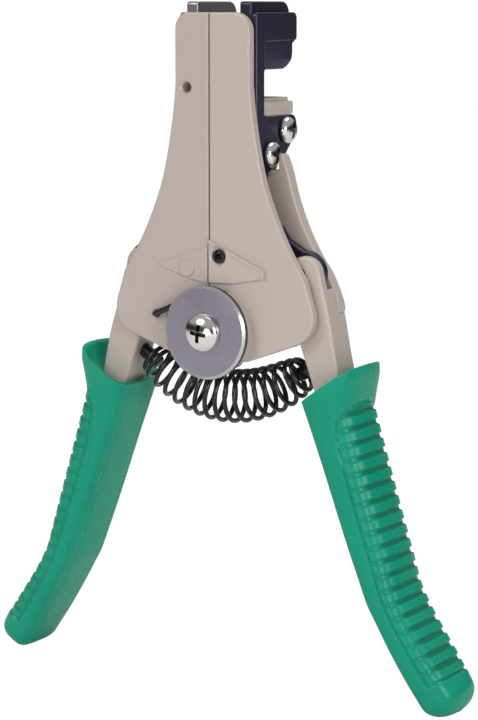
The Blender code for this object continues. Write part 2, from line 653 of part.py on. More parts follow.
def handle(build, hand, side):
    axis = f"{hand}_handle_axis"
    down, out = heading(GRIP_LEAN), across(GRIP_LEAN)
    start = Vector(GRIP_START)
    neck = start + down * NECK_DROP
    end = start + down * TANG_LENGTH
    half = TANG_WIDTH / 2
    ear_x, ear_z = EAR_CENTRE
    outer = flowing([(ear_x + 4.3, ear_z + 1.3), (29.4, 10.4), (31.0, 4.1), (32.4, -3.3),
                     tuple(neck + out * (NECK_WIDTH / 2 - NECK_SHIFT))], 4)
    tang = [tuple(neck + out * half), tuple(end + out * half), tuple(end - out * half),
            tuple(neck - out * half)]
    inner = [tuple(neck - out * (NECK_WIDTH / 2 + NECK_SHIFT)), (23.1, -3.0), (20.9, 4.0)]
    lobe = arc(DOWEL, EAR_LOBE, 230.0, 110.0, 6)
    top = arc(EAR_CENTRE, EAR_RADIUS, 125.0, 18.0, 8)
    outline = outer + tang + inner + lobe + top
    casting = build.add(f"handle_{hand}", prism(outline, EAR_FRONT, SHANK_BACK), axis, "paint",
                        side)
    slot = prism(circle((PIN_X, PIN_Z), CAM_SLOT_RADIUS), EAR_FRONT + EAR_THICKNESS,
                 SHANK_BACK + 1)
    build.combine(casting, slot, axis, "DIFFERENCE", side)
    pocket = bored((PIN_X, PIN_Z), ARM_BOSS_RADIUS, CAM_BACK, SHANK_BACK + 1, GAP + 0.1)
    build.combine(casting, pocket, axis, "DIFFERENCE", side)
    pin = bored((PIN_X, PIN_Z), WING_PIN_RADIUS, EAR_FRONT - 1, CAM_FRONT)
    build.combine(casting, pin, axis, "DIFFERENCE", side)
    dowel = bored(DOWEL, DOWEL_RADIUS, EAR_FRONT + DOWEL_COVER, CAM_FRONT)
    build.combine(casting, dowel, axis, "DIFFERENCE", side)
    build.combine(casting, stud_shape(GAP), axis, "DIFFERENCE", side)


def stud_shape(grow=0.0):
    """Stud whose axis follows the end of the handle spring's arc; grown, it bores its hole."""
    direction = spring_heading(1.0)
    base = Vector((SPRING_END[0], SHANK_MIDDLE, SPRING_END[1])) + direction * STUD_FACE
    radius, sink = STUD_RADIUS + grow, STUD_SINK + grow
    rod = turned([(0.0, -STUD_LENGTH), (radius - STUD_CHAMFER, -STUD_LENGTH),
                  (radius, -STUD_LENGTH + STUD_CHAMFER), (radius, sink), (0.0, sink)], segments=20)
    turn = Vector((0, 1, 0)).rotation_difference(direction).to_matrix().to_4x4()
    bmesh.ops.transform(rod, matrix=Matrix.Translation(base) @ turn, verts=rod.verts[:])
    return rod


def cam_plate(build, hand, side):
    axis = f"{hand}_handle_axis"
    top = NOSE_Z + NOSE_RADIUS
    bottom = NOSE_Z - NOSE_RADIUS
    left = NOSE_X - NOSE_RADIUS
    disc = arc((PIN_X, PIN_Z), CAM_DISC_RADIUS, 92.0, -110.0, 16)
    corners = [(left, top, NOSE_RADIUS - 0.01), (7.4, top, 1.0), (10.2, 29.2, 1.6),
               (13.9, 30.4, 1.0), (17.2, 24.4, 2.5)]
    corners += [(x, z, 0) for x, z in disc]
    corners += [(17.0, bottom - 0.2, 2.0), (left, bottom, NOSE_RADIUS - 0.01)]
    outline = rounded(corners)
    cam = build.add(f"cam_plate_{hand}", prism(outline, CAM_FRONT, CAM_BACK), axis, "gunblue",
                    side)
    pin = bored((PIN_X, PIN_Z), WING_PIN_RADIUS, CAM_FRONT - 1, CAM_BACK + 1)
    build.combine(cam, pin, axis, "DIFFERENCE", side)
    dowel = bored(DOWEL, DOWEL_RADIUS, CAM_FRONT - 1, CAM_BACK + 1)
    build.combine(cam, dowel, axis, "DIFFERENCE", side)
    front = EAR_FRONT + DOWEL_COVER + GAP
    rod = turned([(0.0, front), (DOWEL_RADIUS, front), (DOWEL_RADIUS, CAM_BACK), (0.0, CAM_BACK)],
                 DOWEL, 16)
    build.add(f"cam_dowel_{hand}", rod, axis, "nickel", side)


def grip_section(centre, tilt, width, depth, steps=4):
    """Rounded rectangle across the handle: width in the XZ plane and depth along Y."""
    outwards = across(tilt)
    radius = GRIP_CORNER * width
    section = []
    for sign_w, sign_d, start in ((1, 1, 0.0), (-1, 1, 90.0), (-1, -1, 180.0), (1, -1, 270.0)):
        for step in range(steps + 1):
            turn = math.radians(start + 90.0 * step / steps)
            place = centre + outwards * (sign_w * (width / 2 - radius) + radius * math.cos(turn))
            d = sign_d * (depth / 2 - radius) + radius * math.sin(turn)
            section.append(Vector((place.x, SHANK_MIDDLE + d, place.y)))
    return section


def grip_sides(start, end, share):
    """Distances from the centre line to both sides, part of the way between two named places."""
    inside = GRIP_INSIDE[start] + (GRIP_INSIDE[end] - GRIP_INSIDE[start]) * share
    outside = GRIP_OUTSIDE[start] + (GRIP_OUTSIDE[end] - GRIP_OUTSIDE[start]) * share
    return inside, outside


def grip_station(place, tilt, inside, outside, depth=GRIP_DEPTH):
    return place + across(tilt) * (outside - inside) / 2, tilt, inside + outside, depth


def grip_stations():
    """Centre, tilt, width and depth down the grip; the tip closes in a rounded end."""
    down, flare = heading(GRIP_LEAN), heading(GRIP_FLARE)
    start = Vector(GRIP_START)
    stations = []
    for drop, share in ((0.0, 1.0), (1.2, 0.85), (2.8, 0.55), (4.8, 0.25), (7.5, 0.0)):
        stations.append(grip_station(start + down * (drop - COLLAR_RISE),
                                     GRIP_LEAN + (COLLAR_TILT - GRIP_LEAN) * share,
                                     GRIP_INSIDE["top"],
                                     GRIP_OUTSIDE["top"] + COLLAR_FLARE * share,
                                     GRIP_DEPTH + COLLAR_SPREAD * share))
    for share in (0.45, 0.7, 0.88):
        stations.append(grip_station(start + down * GRIP_STRAIGHT * share, GRIP_LEAN,
                                     *grip_sides("top", "bend", share)))
    middle = (GRIP_LEAN + GRIP_FLARE) / 2
    stations.append(grip_station(GRIP_BEND, middle, *grip_sides("bend", "tip", 0.0)))
    for share, waist in ((0.25, 1.0), (0.6, 0.5), (1.0, 0.0)):
        inside, outside = grip_sides("bend", "tip", share)
        stations.append(grip_station(GRIP_BEND + flare * GRIP_TIP_RUN * share, GRIP_FLARE, inside,
                                     outside - GRIP_WAIST * waist))
    radius = GRIP_TIP_WIDTH / 2
    for angle in (28.0, 90.0 - GRIP_FLARE, 76.0):
        turn = math.radians(angle)
        stations.append((GRIP_TIP + flare * radius * math.sin(turn), GRIP_FLARE,
                         2 * radius * math.cos(turn),
                         GRIP_DEPTH - 2 * radius * (1 - math.cos(turn))))
    return stations


def grip(build, hand, side):
    """Soft sleeve with an open cup in its collar and a socket for the handle's tang."""
    axis = f"{hand}_handle_axis"
    stations = grip_stations()
    sleeve = build.add(f"grip_{hand}", loft([grip_section(*station) for station in stations]),
                       axis, "grip", side)
    down, out = heading(GRIP_LEAN), across(GRIP_LEAN)
    centre, tilt, width, depth = stations[0]
    mouth = (tilt, width - 2 * GRIP_WALL, depth - 2 * GRIP_WALL)
    start = Vector(GRIP_START)
    floor = grip_station(start + down * COLLAR_CUP, GRIP_LEAN, GRIP_INSIDE["top"] - GRIP_WALL,
                         GRIP_OUTSIDE["top"] - GRIP_WALL, GRIP_DEPTH - 2 * GRIP_WALL)
    cup = [grip_section(centre - down, *mouth), grip_section(centre, *mouth),
           grip_section(*floor)]
    build.combine(sleeve, loft(cup), axis, "DIFFERENCE", side)
    half = TANG_WIDTH / 2 + GAP
    end = start + down * (TANG_LENGTH + GAP)
    socket = prism([tuple(start + out * half), tuple(end + out * half), tuple(end - out * half),
                    tuple(start - out * half)], EAR_FRONT - GAP, SHANK_BACK + GAP)
    build.combine(sleeve, socket, axis, "DIFFERENCE", side)


# Springs

def spring_centre(t):
    """Middle line of the handle spring, from -1 at the left end to 1 at the right."""
    return Vector((SPRING_END[0] * t, SHANK_MIDDLE, SPRING_END[1] - SPRING_SAG * (1 - t * t)))


def spring_heading(t):
    slope = Vector((SPRING_END[0], 0.0, 2 * SPRING_SAG * t))
    return slope.normalized()


def handle_spring(build):
    steps = int(SPRING_TURNS * 14)
    path = []
    for step in range(steps + 1):
        t = 2 * step / steps - 1
        bulge = math.sqrt(max(0.0, 1 - t * t))
        radius = SPRING_END_RADIUS + (SPRING_MIDDLE_RADIUS - SPRING_END_RADIUS) * bulge
        angle = math.tau * SPRING_TURNS * step / steps
        ahead = spring_heading(t)
        up = Vector((-ahead.z, 0.0, ahead.x))
        offset = up * math.cos(angle) + Vector((0, 1, 0)) * math.sin(angle)
        path.append(spring_centre(t) + offset * radius)
    build.add("handle_spring", wire(path, SPRING_WIRE), "pivot_axis", "spring")


def leg_tip():
    """Bent end of the torsion spring's front leg, in the left plate's hole."""
    angle = math.radians(TORSION_LEG_ANGLE)
    leave = Vector((math.cos(angle), 0.0, math.sin(angle))) * TORSION_RADIUS
    along = Vector((-math.sin(angle), 0.0, math.cos(angle)))
    return leave + along * TORSION_LEG


def torsion_spring(build):
    """Front leg, a turn that passes behind the plates below the pivot, and a rear leg."""
    front = -GAP - TORSION_WIRE / 2
    back = PLATE_THICKNESS + GAP + TORSION_WIRE / 2
    tip = leg_tip()
    path = [Vector((tip.x, PLATE_THICKNESS - 1.0, tip.z)), Vector((tip.x, front + 0.4, tip.z))]
    steps = 44
    below = TORSION_LEG_ANGLE + 90.0
    for step in range(steps + 1):
        swept = TORSION_TURN * step / steps
        angle = math.radians(TORSION_LEG_ANGLE - swept)
        lean = min(max((swept - below) / TORSION_PASS + 0.5, 0.0), 1.0)
        path.append(Vector((TORSION_RADIUS * math.cos(angle), front + (back - front) * lean,
                            TORSION_RADIUS * math.sin(angle))))
    last = math.radians(TORSION_LEG_ANGLE - TORSION_TURN)
    path.append(path[-1] + Vector((math.sin(last), 0.0, -math.cos(last))) * TORSION_REAR_LEG)
    build.add("torsion_spring", wire(path, TORSION_WIRE), "pivot_axis", "spring")


# Pivot stack

def pivot_stack(build):
    axis = "pivot_axis"
    head = pan_head(SCREW_HEAD_RADIUS, SCREW_HEAD_HEIGHT, HEAD_BACK, 6)
    end = NUT_BACK + 0.8
    profile = head + [(0.0, HEAD_FRONT), (0.0, end), (SCREW_RADIUS - 0.5, end),
                      (SCREW_RADIUS, end - 0.7), (SCREW_RADIUS, HEAD_BACK)]
    screw = build.add("pivot_screw", turned(profile), axis, "nickel")
    build.combine(screw, cross_recess(SCREW_HEAD_RADIUS, HEAD_FRONT, 1.4), axis, "DIFFERENCE")
    bore = SCREW_RADIUS + GAP
    chamfered = [(bore, WASHER_FRONT), (WASHER_RADIUS - WASHER_CHAMFER, WASHER_FRONT),
                 (WASHER_RADIUS, WASHER_FRONT + WASHER_CHAMFER), (WASHER_RADIUS, WASHER_BACK),
                 (bore, WASHER_BACK)]
    build.add("pivot_washer", turned(chamfered, segments=48), axis, "zinc")
    front = WASHER_BACK + GAP
    flange = [(BUSH_BORE, front), (BUSH_FLANGE_RADIUS, front),
              (BUSH_FLANGE_RADIUS, front + BUSH_FLANGE), (BUSH_RADIUS, front + BUSH_FLANGE),
              (BUSH_RADIUS, ARM_BACK + GAP), (BUSH_BORE, ARM_BACK + GAP)]
    build.add("pivot_bush", turned(flange), axis, "bronze")
    build.add("rear_washer", tube(REAR_WASHER_RADIUS, bore, REAR_WASHER_FRONT,
                                  REAR_WASHER_FRONT + REAR_WASHER_THICKNESS), axis, "zinc")
    corner = NUT_FLATS / math.sqrt(3)
    nut = build.add("rear_nut", prism(circle((0, 0), corner, 6), NUT_FRONT, NUT_BACK), axis,
                    "nickel")
    build.combine(nut, bored((0, 0), SCREW_RADIUS, NUT_FRONT - 1, NUT_BACK + 1), axis,
                  "DIFFERENCE")


def main():
    for old in list(bpy.data.objects):
        bpy.data.objects.remove(old, do_unlink=True)
    build = Assembly()
    build.axis("pivot_axis", (0.0, 0.0))
    pivot_stack(build)
    torsion_spring(build)
    handle_spring(build)
    for hand, side in SIDES.items():
        build.axis(f"{hand}_head_axis", (0.0, 0.0), "pivot_axis")
        build.axis(f"{hand}_jaw_axis", (0.0, 0.0), f"{hand}_head_axis")
        build.axis(f"{hand}_handle_axis", (side * PIN_X, PIN_Z), f"{hand}_head_axis")
        front_plate(build, hand, side)
        rear_arm(build, hand, side)
        hook_plate(build, hand, side)
        upper_block(build, hand, side)
        plate_screws(build, hand, side)
        wing_pin(build, hand, side)
        lower_jaw(build, hand, side)
        jaw_insert(build, hand, side)
        handle(build, hand, side)
        cam_plate(build, hand, side)
        grip(build, hand, side)
        build.add(f"spring_stud_{hand}", stud_shape(), f"{hand}_handle_axis", "nickel", side)
    roll_pin(build)
    bpy.context.view_layer.update()


main()
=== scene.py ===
"""Looks of a hand wire stripper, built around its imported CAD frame.

Pieces are drawn in millimetres from the main pivot, at the front face of the front plates: X to the
right, Y to the back and Z up. They are drawn for the right-hand side, and a side of -1 mirrors
them.
"""
import json
import math

import bmesh
import bpy
import numpy as np
from bpy.props import FloatProperty, FloatVectorProperty, IntProperty, PointerProperty
from mathutils import Matrix, Vector


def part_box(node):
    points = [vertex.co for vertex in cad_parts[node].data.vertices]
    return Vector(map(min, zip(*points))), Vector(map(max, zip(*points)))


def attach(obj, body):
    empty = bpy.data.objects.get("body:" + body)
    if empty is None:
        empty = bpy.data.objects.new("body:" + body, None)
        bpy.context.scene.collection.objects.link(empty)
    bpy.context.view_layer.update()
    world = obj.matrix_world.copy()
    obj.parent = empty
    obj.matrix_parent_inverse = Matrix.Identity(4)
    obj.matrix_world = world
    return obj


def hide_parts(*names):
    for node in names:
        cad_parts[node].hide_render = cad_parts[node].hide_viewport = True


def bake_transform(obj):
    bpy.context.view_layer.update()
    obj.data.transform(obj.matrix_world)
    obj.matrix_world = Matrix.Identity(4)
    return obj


bl_info = {
    "name": "Wire Stripper",
    "version": (1, 0, 0),
    "blender": (4, 5, 0),
    "location": "3D View > Sidebar > Stripper",
    "description": "Detailed pieces and finishes for a hand wire stripper",
    "category": "Object",
}

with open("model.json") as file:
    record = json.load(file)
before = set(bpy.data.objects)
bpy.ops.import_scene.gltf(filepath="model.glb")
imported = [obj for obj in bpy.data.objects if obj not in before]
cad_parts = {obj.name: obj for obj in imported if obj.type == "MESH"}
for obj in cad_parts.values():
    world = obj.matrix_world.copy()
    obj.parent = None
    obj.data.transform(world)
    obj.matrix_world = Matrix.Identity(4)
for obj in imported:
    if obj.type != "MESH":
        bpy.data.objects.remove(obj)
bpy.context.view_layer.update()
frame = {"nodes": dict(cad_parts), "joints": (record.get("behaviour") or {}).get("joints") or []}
JOINTS = {joint["name"]: joint for joint in frame["joints"]}
MM = 0.001
ORIGIN = Vector(JOINTS["right_spread"]["pos_m"]) / MM
PIN = Vector(JOINTS["right_squeeze"]["pos_m"]) / MM - ORIGIN
PIN_X, PIN_Z = PIN_AT = PIN.x, PIN.z
SIDES = {"right": 1, "left": -1}
GAP = 0.3

# Layers through the depth, from the front plates' front face
PLATE_BACK = 2.6
EAR_FRONT = 2.9
EAR_BACK = 5.3
CAM_FRONT = 5.6
CAM_BACK = 8.2
ARM_FRONT = 8.5
ARM_BACK = 12.0
SHANK_BACK = 11.9
SHANK_MIDDLE = 7.4

# Heads
TOWER_TOP = 77.0
TOWER_HALF_WIDTH = 10.5
SEAM_X = -0.9
KNUCKLE_RADIUS = 8.3
BUSH_RADIUS = 4.0
ARM_BOSS_RADIUS = 12.4
ARM_INNER = 1.2
WING_PIN_RADIUS = 1.8
DOWEL_RADIUS = 1.1
DOWEL = (17.9, 13.4)
HOOK_FRONT = 2.9
HOOK_INNER = 9.4
HOOK_OUTER = 10.9
HOOK_STEP_DEPTH = 0.28
HOOK_TOP = 77.0
HOOK_STEP = 70.1
HOOK_EDGE = 63.3
HOOK_REACH = 22.4
EDGE_REACH = 20.5
BAR_BACK = 6.7
BRACKET_TOP = 52.2
BRACKET_LOW = 38.4
BLOCK_TOP = 79.6
BLOCK_INNER = 5.9
BLOCK_OUTER = 9.1
PLATE_SCREWS = {"lower": (9.2, 42.8), "upper": (16.8, 48.5)}
PLATE_SCREW_HOLE = 1.8
PLATE_SCREW_HEAD = 3.25         # radius
PLATE_SCREW_HEIGHT = 2.2
JAW_TOP = 56.4
JAW_BOTTOM = 52.4

# Grips
GRIP_START = Vector((31.15, -13.8))
GRIP_LEAN = 18.9
GRIP_STRAIGHT = 49.9
GRIP_FLARE = 31.6
GRIP_TIP_RUN = 26.7
GRIP_DEPTH = 19.0
GRIP_WALL = 1.3
OUTER_POWER = 2 / 2.9         # how round a grip's section is on each half
INNER_POWER = 2 / 4.2
SKIN_STEP = 0.24              # between the rings of a grip's skin
PANEL_EDGE = {"right": 0.12, "left": -0.06}     # where the ribs start across a section
COLLAR_RISE = 1.9
COLLAR_TILT = 35.0

# Pivot
WASHER_RADIUS = 11.5
WASHER_FRONT = -3.9
WASHER_BACK = -2.0
WASHER_CHAMFER = 0.55
WASHER_BORE = 2.8
PIVOT_HEAD = 4.75              # radius
PIVOT_HEAD_HEIGHT = 2.95
PIVOT_HEAD_BACK = -3.95
PIVOT_SHANK = 2.5

# Springs
TORSION_RADIUS = 9.3
TORSION_FRONT = -1.05
TORSION_BACK = 3.65
TORSION_PASS = 40.0           # degrees over which its turn passes behind the plates
TORSION_TAIL = 8.0
RIM_CLEAR = 0.75              # half the torsion wire
RIM_WALL = 0.9
TORSION_LEG = 13.6
TORSION_LEG_ANGLE = 113.0
TORSION_TURN = 406.0
SPRING_END = (21.7, -9.4)
SPRING_SAG = 7.6
SPRING_LIFT = 0.7             # left end rides this much higher on its stud
SPRING_SPLIT = 0.46           # share of the half span where the coil is cut between its inner and outer pieces
SPRING_COIL = 3.3             # radius at the ends, and how much more in the middle
SPRING_BARREL = 2.9
TURN_STEPS = 40

# Camera
CAMERA_TURN = 31.0
CAMERA_RISE = 8.7
CAMERA_DISTANCE = 0.565
CAMERA_LENS = 77.1
CAMERA_SHIFT = (0.0066, -0.00708)


def length(name, words, value, low, high):
    return FloatProperty(name=name, description=words, default=value, min=low, max=high,
                         unit="LENGTH")


class StripperSizes(bpy.types.PropertyGroup):
    edge: length("Edge Radius", "Rounding of cast and pressed edges", 0.0005, 0.0001, 0.001)
    hook_edge: length("Hook Edge Radius", "Rounding of the hooks' edges", 0.0003, 0.0001, 0.0006)
    rib_pitch: length("Rib Pitch", "Distance from rib to rib on a grip", 0.0036, 0.002, 0.006)
    rib_height: length("Rib Height", "Height of a rib over its panel", 0.00062, 0.0, 0.0015)
    recess: length("Panel Recess", "Depth of the ribbed panel's floor", 0.00075, 0.0, 0.0015)
    handle_wire: length("Handle Spring Wire", "Wire diameter", 0.0012, 0.0008, 0.002)
    torsion_wire: length("Torsion Spring Wire", "Wire diameter", 0.0015, 0.001, 0.002)
    coil_turns: FloatProperty(name="Handle Spring Turns", description="Turns between both ends",
                              default=15.5, min=8.0, max=20.0)
    wire_sides: IntProperty(name="Wire Sides", description="Sides of a round wire", default=12,
                            min=6, max=24)


def colour(name, words, value):
    return FloatVectorProperty(name=name, description=words, default=value, subtype="COLOR",
                               min=0.0, max=1.0)


class StripperColours(bpy.types.PropertyGroup):
    paint: colour("Paint", "Satin paint of the right head and the handles", (0.50, 0.425, 0.38))
    # A darker copy of the same paint: painted shade on the left head.
    paint_shaded_left: colour("Left Paint Shaded", "Satin paint of the left head", (0.475, 0.395, 0.365))
    grip: colour("Grip", "Soft sleeve over each handle", (0.004, 0.292, 0.178))
    gunblue: colour("Gun Blue", "Blade plate, its block and the cams", (0.045, 0.041, 0.080))
    grey: colour("Grey Nickel", "Gripping plate and its block", (0.34, 0.32, 0.33))
    nickel: colour("Nickel", "Screws, pins and studs", (0.80, 0.775, 0.74))
    zinc: colour("Zinc", "Washers", (0.35, 0.32, 0.385))
    spring: colour("Spring", "Black springs", (0.018, 0.018, 0.020))
    bronze: colour("Bronze", "Pivot bush", (0.50, 0.33, 0.16))


# Outlines, in millimetres

def heading(degrees):
    angle = math.radians(degrees)
    return Vector((math.sin(angle), -math.cos(angle)))


def across(degrees):
    angle = math.radians(degrees)
    return Vector((math.cos(angle), math.sin(angle)))


def arc(centre, radius, start, end, steps):
    points = []
    for step in range(steps + 1):
        angle = math.radians(start + (end - start) * step / steps)
        points.append((centre[0] + radius * math.cos(angle), centre[1] + radius * math.sin(angle)))
    return points


def circle(centre, radius, steps=64):
    return arc(centre, radius, 0.0, 360.0 * (steps - 1) / steps, steps - 1)


def rounded(corners, step=8.0):
    """Closed outline through corners (a, b, radius), with each radius drawn as an arc."""
    outline = []
    for index, (a, b, radius) in enumerate(corners):
        here = Vector((a, b))
        if not radius:
            outline.append((a, b))
            continue
        back = (Vector(corners[index - 1][:2]) - here).normalized()
        ahead = (Vector(corners[(index + 1) % len(corners)][:2]) - here).normalized()
        half = back.angle(ahead) / 2
        centre = here + (back + ahead).normalized() * radius / math.sin(half)
        first = here + back * radius / math.tan(half) - centre
        last = here + ahead * radius / math.tan(half) - centre
        sweep = math.degrees(first.angle_signed(last)) * -1.0
        begin = math.degrees(math.atan2(first.y, first.x))
        outline += arc(centre, radius, begin, begin + sweep, max(3, round(abs(sweep) / step)))
    return outline


def flowing(points, steps=10):
    """Smooth curve through points, without its last one."""
    curve = []
    for index in range(len(points) - 1):
        before = Vector(points[max(index - 1, 0)])
        start, end = Vector(points[index]), Vector(points[index + 1])
        after = Vector(points[min(index + 2, len(points) - 1)])
        for step in range(steps):
            t = step / steps
            spread = (start * 2 + (end - before) * t
                      + (before * 2 - start * 5 + end * 4 - after) * t * t
                      + (start * 3 - before - end * 3 + after) * t ** 3)
            curve.append(tuple(spread / 2))
    return curve


def inset_steps(outline):
    """Outline turned anticlockwise, and the step that moves each point inwards by one."""
    points = [Vector(point) for point in outline]
    points = [point for i, point in enumerate(points) if (point - points[i - 1]).length > 1e-4]
    area = sum(points[i - 1].cross(points[i]) for i in range(len(points)))
    if area < 0:
        points.reverse()
    steps = []
    for i, point in enumerate(points):
        back = (point - points[i - 1]).normalized()
        ahead = (points[(i + 1) % len(points)] - point).normalized()
        inward = Vector((-back.y - ahead.y, back.x + ahead.x))
        if inward.length < 1e-3:
            inward = Vector((-ahead.y, ahead.x))
        inward.normalize()
        steps.append(inward / max(inward.dot(Vector((-ahead.y, ahead.x))), 0.5))
    return points, steps


# Solids, made as bmeshes in millimetres

def loft(sections):
    """Skin over closed sections of equal point count, with both ends capped."""
    bm = bmesh.new()
    rings = [[bm.verts.new(point) for point in section] for section in sections]
    for first, second in zip(rings, rings[1:]):
        for i in range(len(first)):
            bm.faces.new((first[i - 1], first[i], second[i], second[i - 1]))
    bm.faces.new(rings[0])
    bm.faces.new(rings[-1])
    bmesh.ops.recalc_face_normals(bm, faces=bm.faces[:])
    return bm


def prism(outline, low, high, along="Y", soft=0.0, steps=4):
    """Outline in XZ pushed along Y, or in YZ along X, with both rims rounded by soft."""
    points, inward = inset_steps(outline)
    rings = []
    levels = range(steps + 1) if soft else (steps,)
    for end, sign in ((low, 1.0), (high, -1.0)):
        ring = []
        for level in levels:
            angle = math.radians(90.0 * level / steps)
            depth = end + sign * soft * (1 - math.cos(angle))
            moved = [p + s * soft * (1 - math.sin(angle)) for p, s in zip(points, inward)]
            ring.append([(p.x, depth, p.y) if along == "Y" else (depth, p.x, p.y) for p in moved])
        rings += ring if sign > 0 else ring[::-1]
    return loft(rings)


def turned(profile, centre=(0.0, 0.0), segments=72):
    """Closed profile of (radius, depth) turned about the depth axis through a centre (x, z)."""
    bm = bmesh.new()
    ring = [bm.verts.new((radius, depth, 0.0)) for radius, depth in profile]
    edges = [bm.edges.new((ring[i - 1], ring[i])) for i in range(len(ring))]
    bmesh.ops.spin(bm, geom=ring + edges, cent=(0, 0, 0), axis=(0, 1, 0), angle=math.tau,
                   steps=segments, use_merge=True, use_duplicate=False)
    bmesh.ops.remove_doubles(bm, verts=bm.verts[:], dist=0.0001)
    bmesh.ops.dissolve_degenerate(bm, edges=bm.edges[:], dist=0.0001)
    bmesh.ops.translate(bm, verts=bm.verts[:], vec=(centre[0], 0.0, centre[1]))
    bmesh.ops.recalc_face_normals(bm, faces=bm.faces[:])
    return bm


def bored(centre, radius, front, back, grow=GAP):
    return prism(circle(centre, radius + grow, 48), front, back)


def countersunk(centre, radius, depth, lip=0.45):
    """Cutter for a hole through the front face with a broken edge."""
    return turned([(0.0, -2.0), (radius + lip + 2.0, -2.0), (radius, lip), (radius, depth),
                   (0.0, depth)], centre)


def linked(name, data):
    made = bpy.data.objects.new(name, data)
    bpy.context.scene.collection.objects.link(made)
    return made


def evaluated(held):
    """New mesh of an object as its modifiers leave it."""
    bpy.context.view_layer.update()
    seen = held.evaluated_get(bpy.context.evaluated_depsgraph_get())
    return bpy.data.meshes.new_from_object(seen)


def mesh_of(bm):
    mesh = bpy.data.meshes.new("work")
    bm.to_mesh(mesh)
    bm.free()
    return mesh


class Work:
    """A piece on the way: Boolean steps in millimetres, then one finished mesh in metres."""

    def __init__(self, bm):
        self.tools = []
        self.body = self.hold("work", bm)

    def hold(self, name, bm):
        held = linked(name, mesh_of(bm))
        self.tools.append(held)
        return held

    def combine(self, bm, operation="DIFFERENCE"):
        boolean = self.body.modifiers.new("step", "BOOLEAN")
        boolean.operation = operation
        boolean.solver = "EXACT"
        boolean.object = self.hold("tool", bm)

    def join(self, bm):
        self.combine(bm, "UNION")

    def mesh(self):
        made = evaluated(self.body)
        for tool in self.tools:
            bpy.data.objects.remove(tool, do_unlink=True)
        return made


def placed(mesh, side=1):
    """Mesh moved from millimetres at the pivot to metres in the frame, mirrored by its side."""
    bm = bmesh.new()
    bm.from_mesh(mesh)
    bmesh.ops.transform(bm, matrix=Matrix.Diagonal((side, 1.0, 1.0, 1.0)), verts=bm.verts[:])
    bmesh.ops.translate(bm, verts=bm.verts[:], vec=ORIGIN)
    bmesh.ops.scale(bm, vec=(MM, MM, MM), verts=bm.verts[:])
    bmesh.ops.remove_doubles(bm, verts=bm.verts[:], dist=1e-7)
    bmesh.ops.recalc_face_normals(bm, faces=bm.faces[:])
    bm.to_mesh(mesh)
    bm.free()
    return mesh


def piece(name, mesh, material, body, nodes, sharp=28.0, extra=()):
    """Finished piece, smooth between sharp edges; extra pairs materials with tests of faces."""
    made = linked(name, mesh)
    mesh.materials.clear()
    mesh.materials.append(material)
    for index, (tone, test) in enumerate(extra, 1):
        mesh.materials.append(tone)
        for face in mesh.polygons:
            if test(face):
                face.material_index = index
    mesh.shade_smooth()
    mesh.set_sharp_from_angle(angle=math.radians(sharp))
    weighted = made.modifiers.new("flat faces", "WEIGHTED_NORMAL")
    weighted.keep_sharp = True
    weighted.weight = 80
    made.data = evaluated(made)
    made.data.name = name
    made.modifiers.clear()
    if body:
        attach(made, body)
    if nodes:
        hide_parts(*nodes)
    return made


# Geometry node trees

def tree_with(name, sockets):
    """New tree with its geometry sockets, named inputs, and a way to add linked nodes."""
    tree = bpy.data.node_groups.new(name, "GeometryNodeTree")
    tree.interface.new_socket("Geometry", in_out="INPUT", socket_type="NodeSocketGeometry")
    for label, kind in sockets:
        tree.interface.new_socket(label, in_out="INPUT", socket_type=kind)
    tree.interface.new_socket("Geometry", in_out="OUTPUT", socket_type="NodeSocketGeometry")
    given = tree.nodes.new("NodeGroupInput").outputs
    return tree, given, tree.nodes.new("NodeGroupOutput")


def node(tree, kind, links=(), **settings):
    """Node with its settings; links pair an input's name or number with a socket or a value."""
    made = tree.nodes.new(kind)
    for key, value in settings.items():
        setattr(made, key, value)
    for place, value in links:
        socket = made.inputs[place]
        if isinstance(value, bpy.types.NodeSocket):
            tree.links.new(value, socket)
        else:
            socket.default_value = value
    return made


def maths(tree, operation, *values, clamp=False):
    return node(tree, "ShaderNodeMath", enumerate(values), operation=operation,
                use_clamp=clamp).outputs[0]


def end_tree(tree, geometry, given, out):
    real = node(tree, "GeometryNodeRealizeInstances", [(0, geometry)])
    dressed = node(tree, "GeometryNodeSetMaterial",
                   [("Geometry", real.outputs[0]), ("Material", given["Finish"])])
    tree.links.new(dressed.outputs[0], out.inputs[0])
    return tree


def wire_tree():
    """Sweeps a round wire along a path of edges."""
    tree, given, out = tree_with("swept_wire", [
        ("Diameter", "NodeSocketFloat"), ("Sides", "NodeSocketInt"),
        ("Finish", "NodeSocketMaterial")])
    path = node(tree, "GeometryNodeMeshToCurve", [("Mesh", given["Geometry"])])
    half = maths(tree, "MULTIPLY", given["Diameter"], 0.5)
    profile = node(tree, "GeometryNodeCurvePrimitiveCircle", [
        ("Resolution", given["Sides"]), ("Radius", half)])
    swept = node(tree, "GeometryNodeCurveToMesh", [
        ("Curve", path.outputs[0]), ("Profile Curve", profile.outputs[0]), ("Fill Caps", True)])
    return end_tree(tree, swept.outputs[0], given, out)


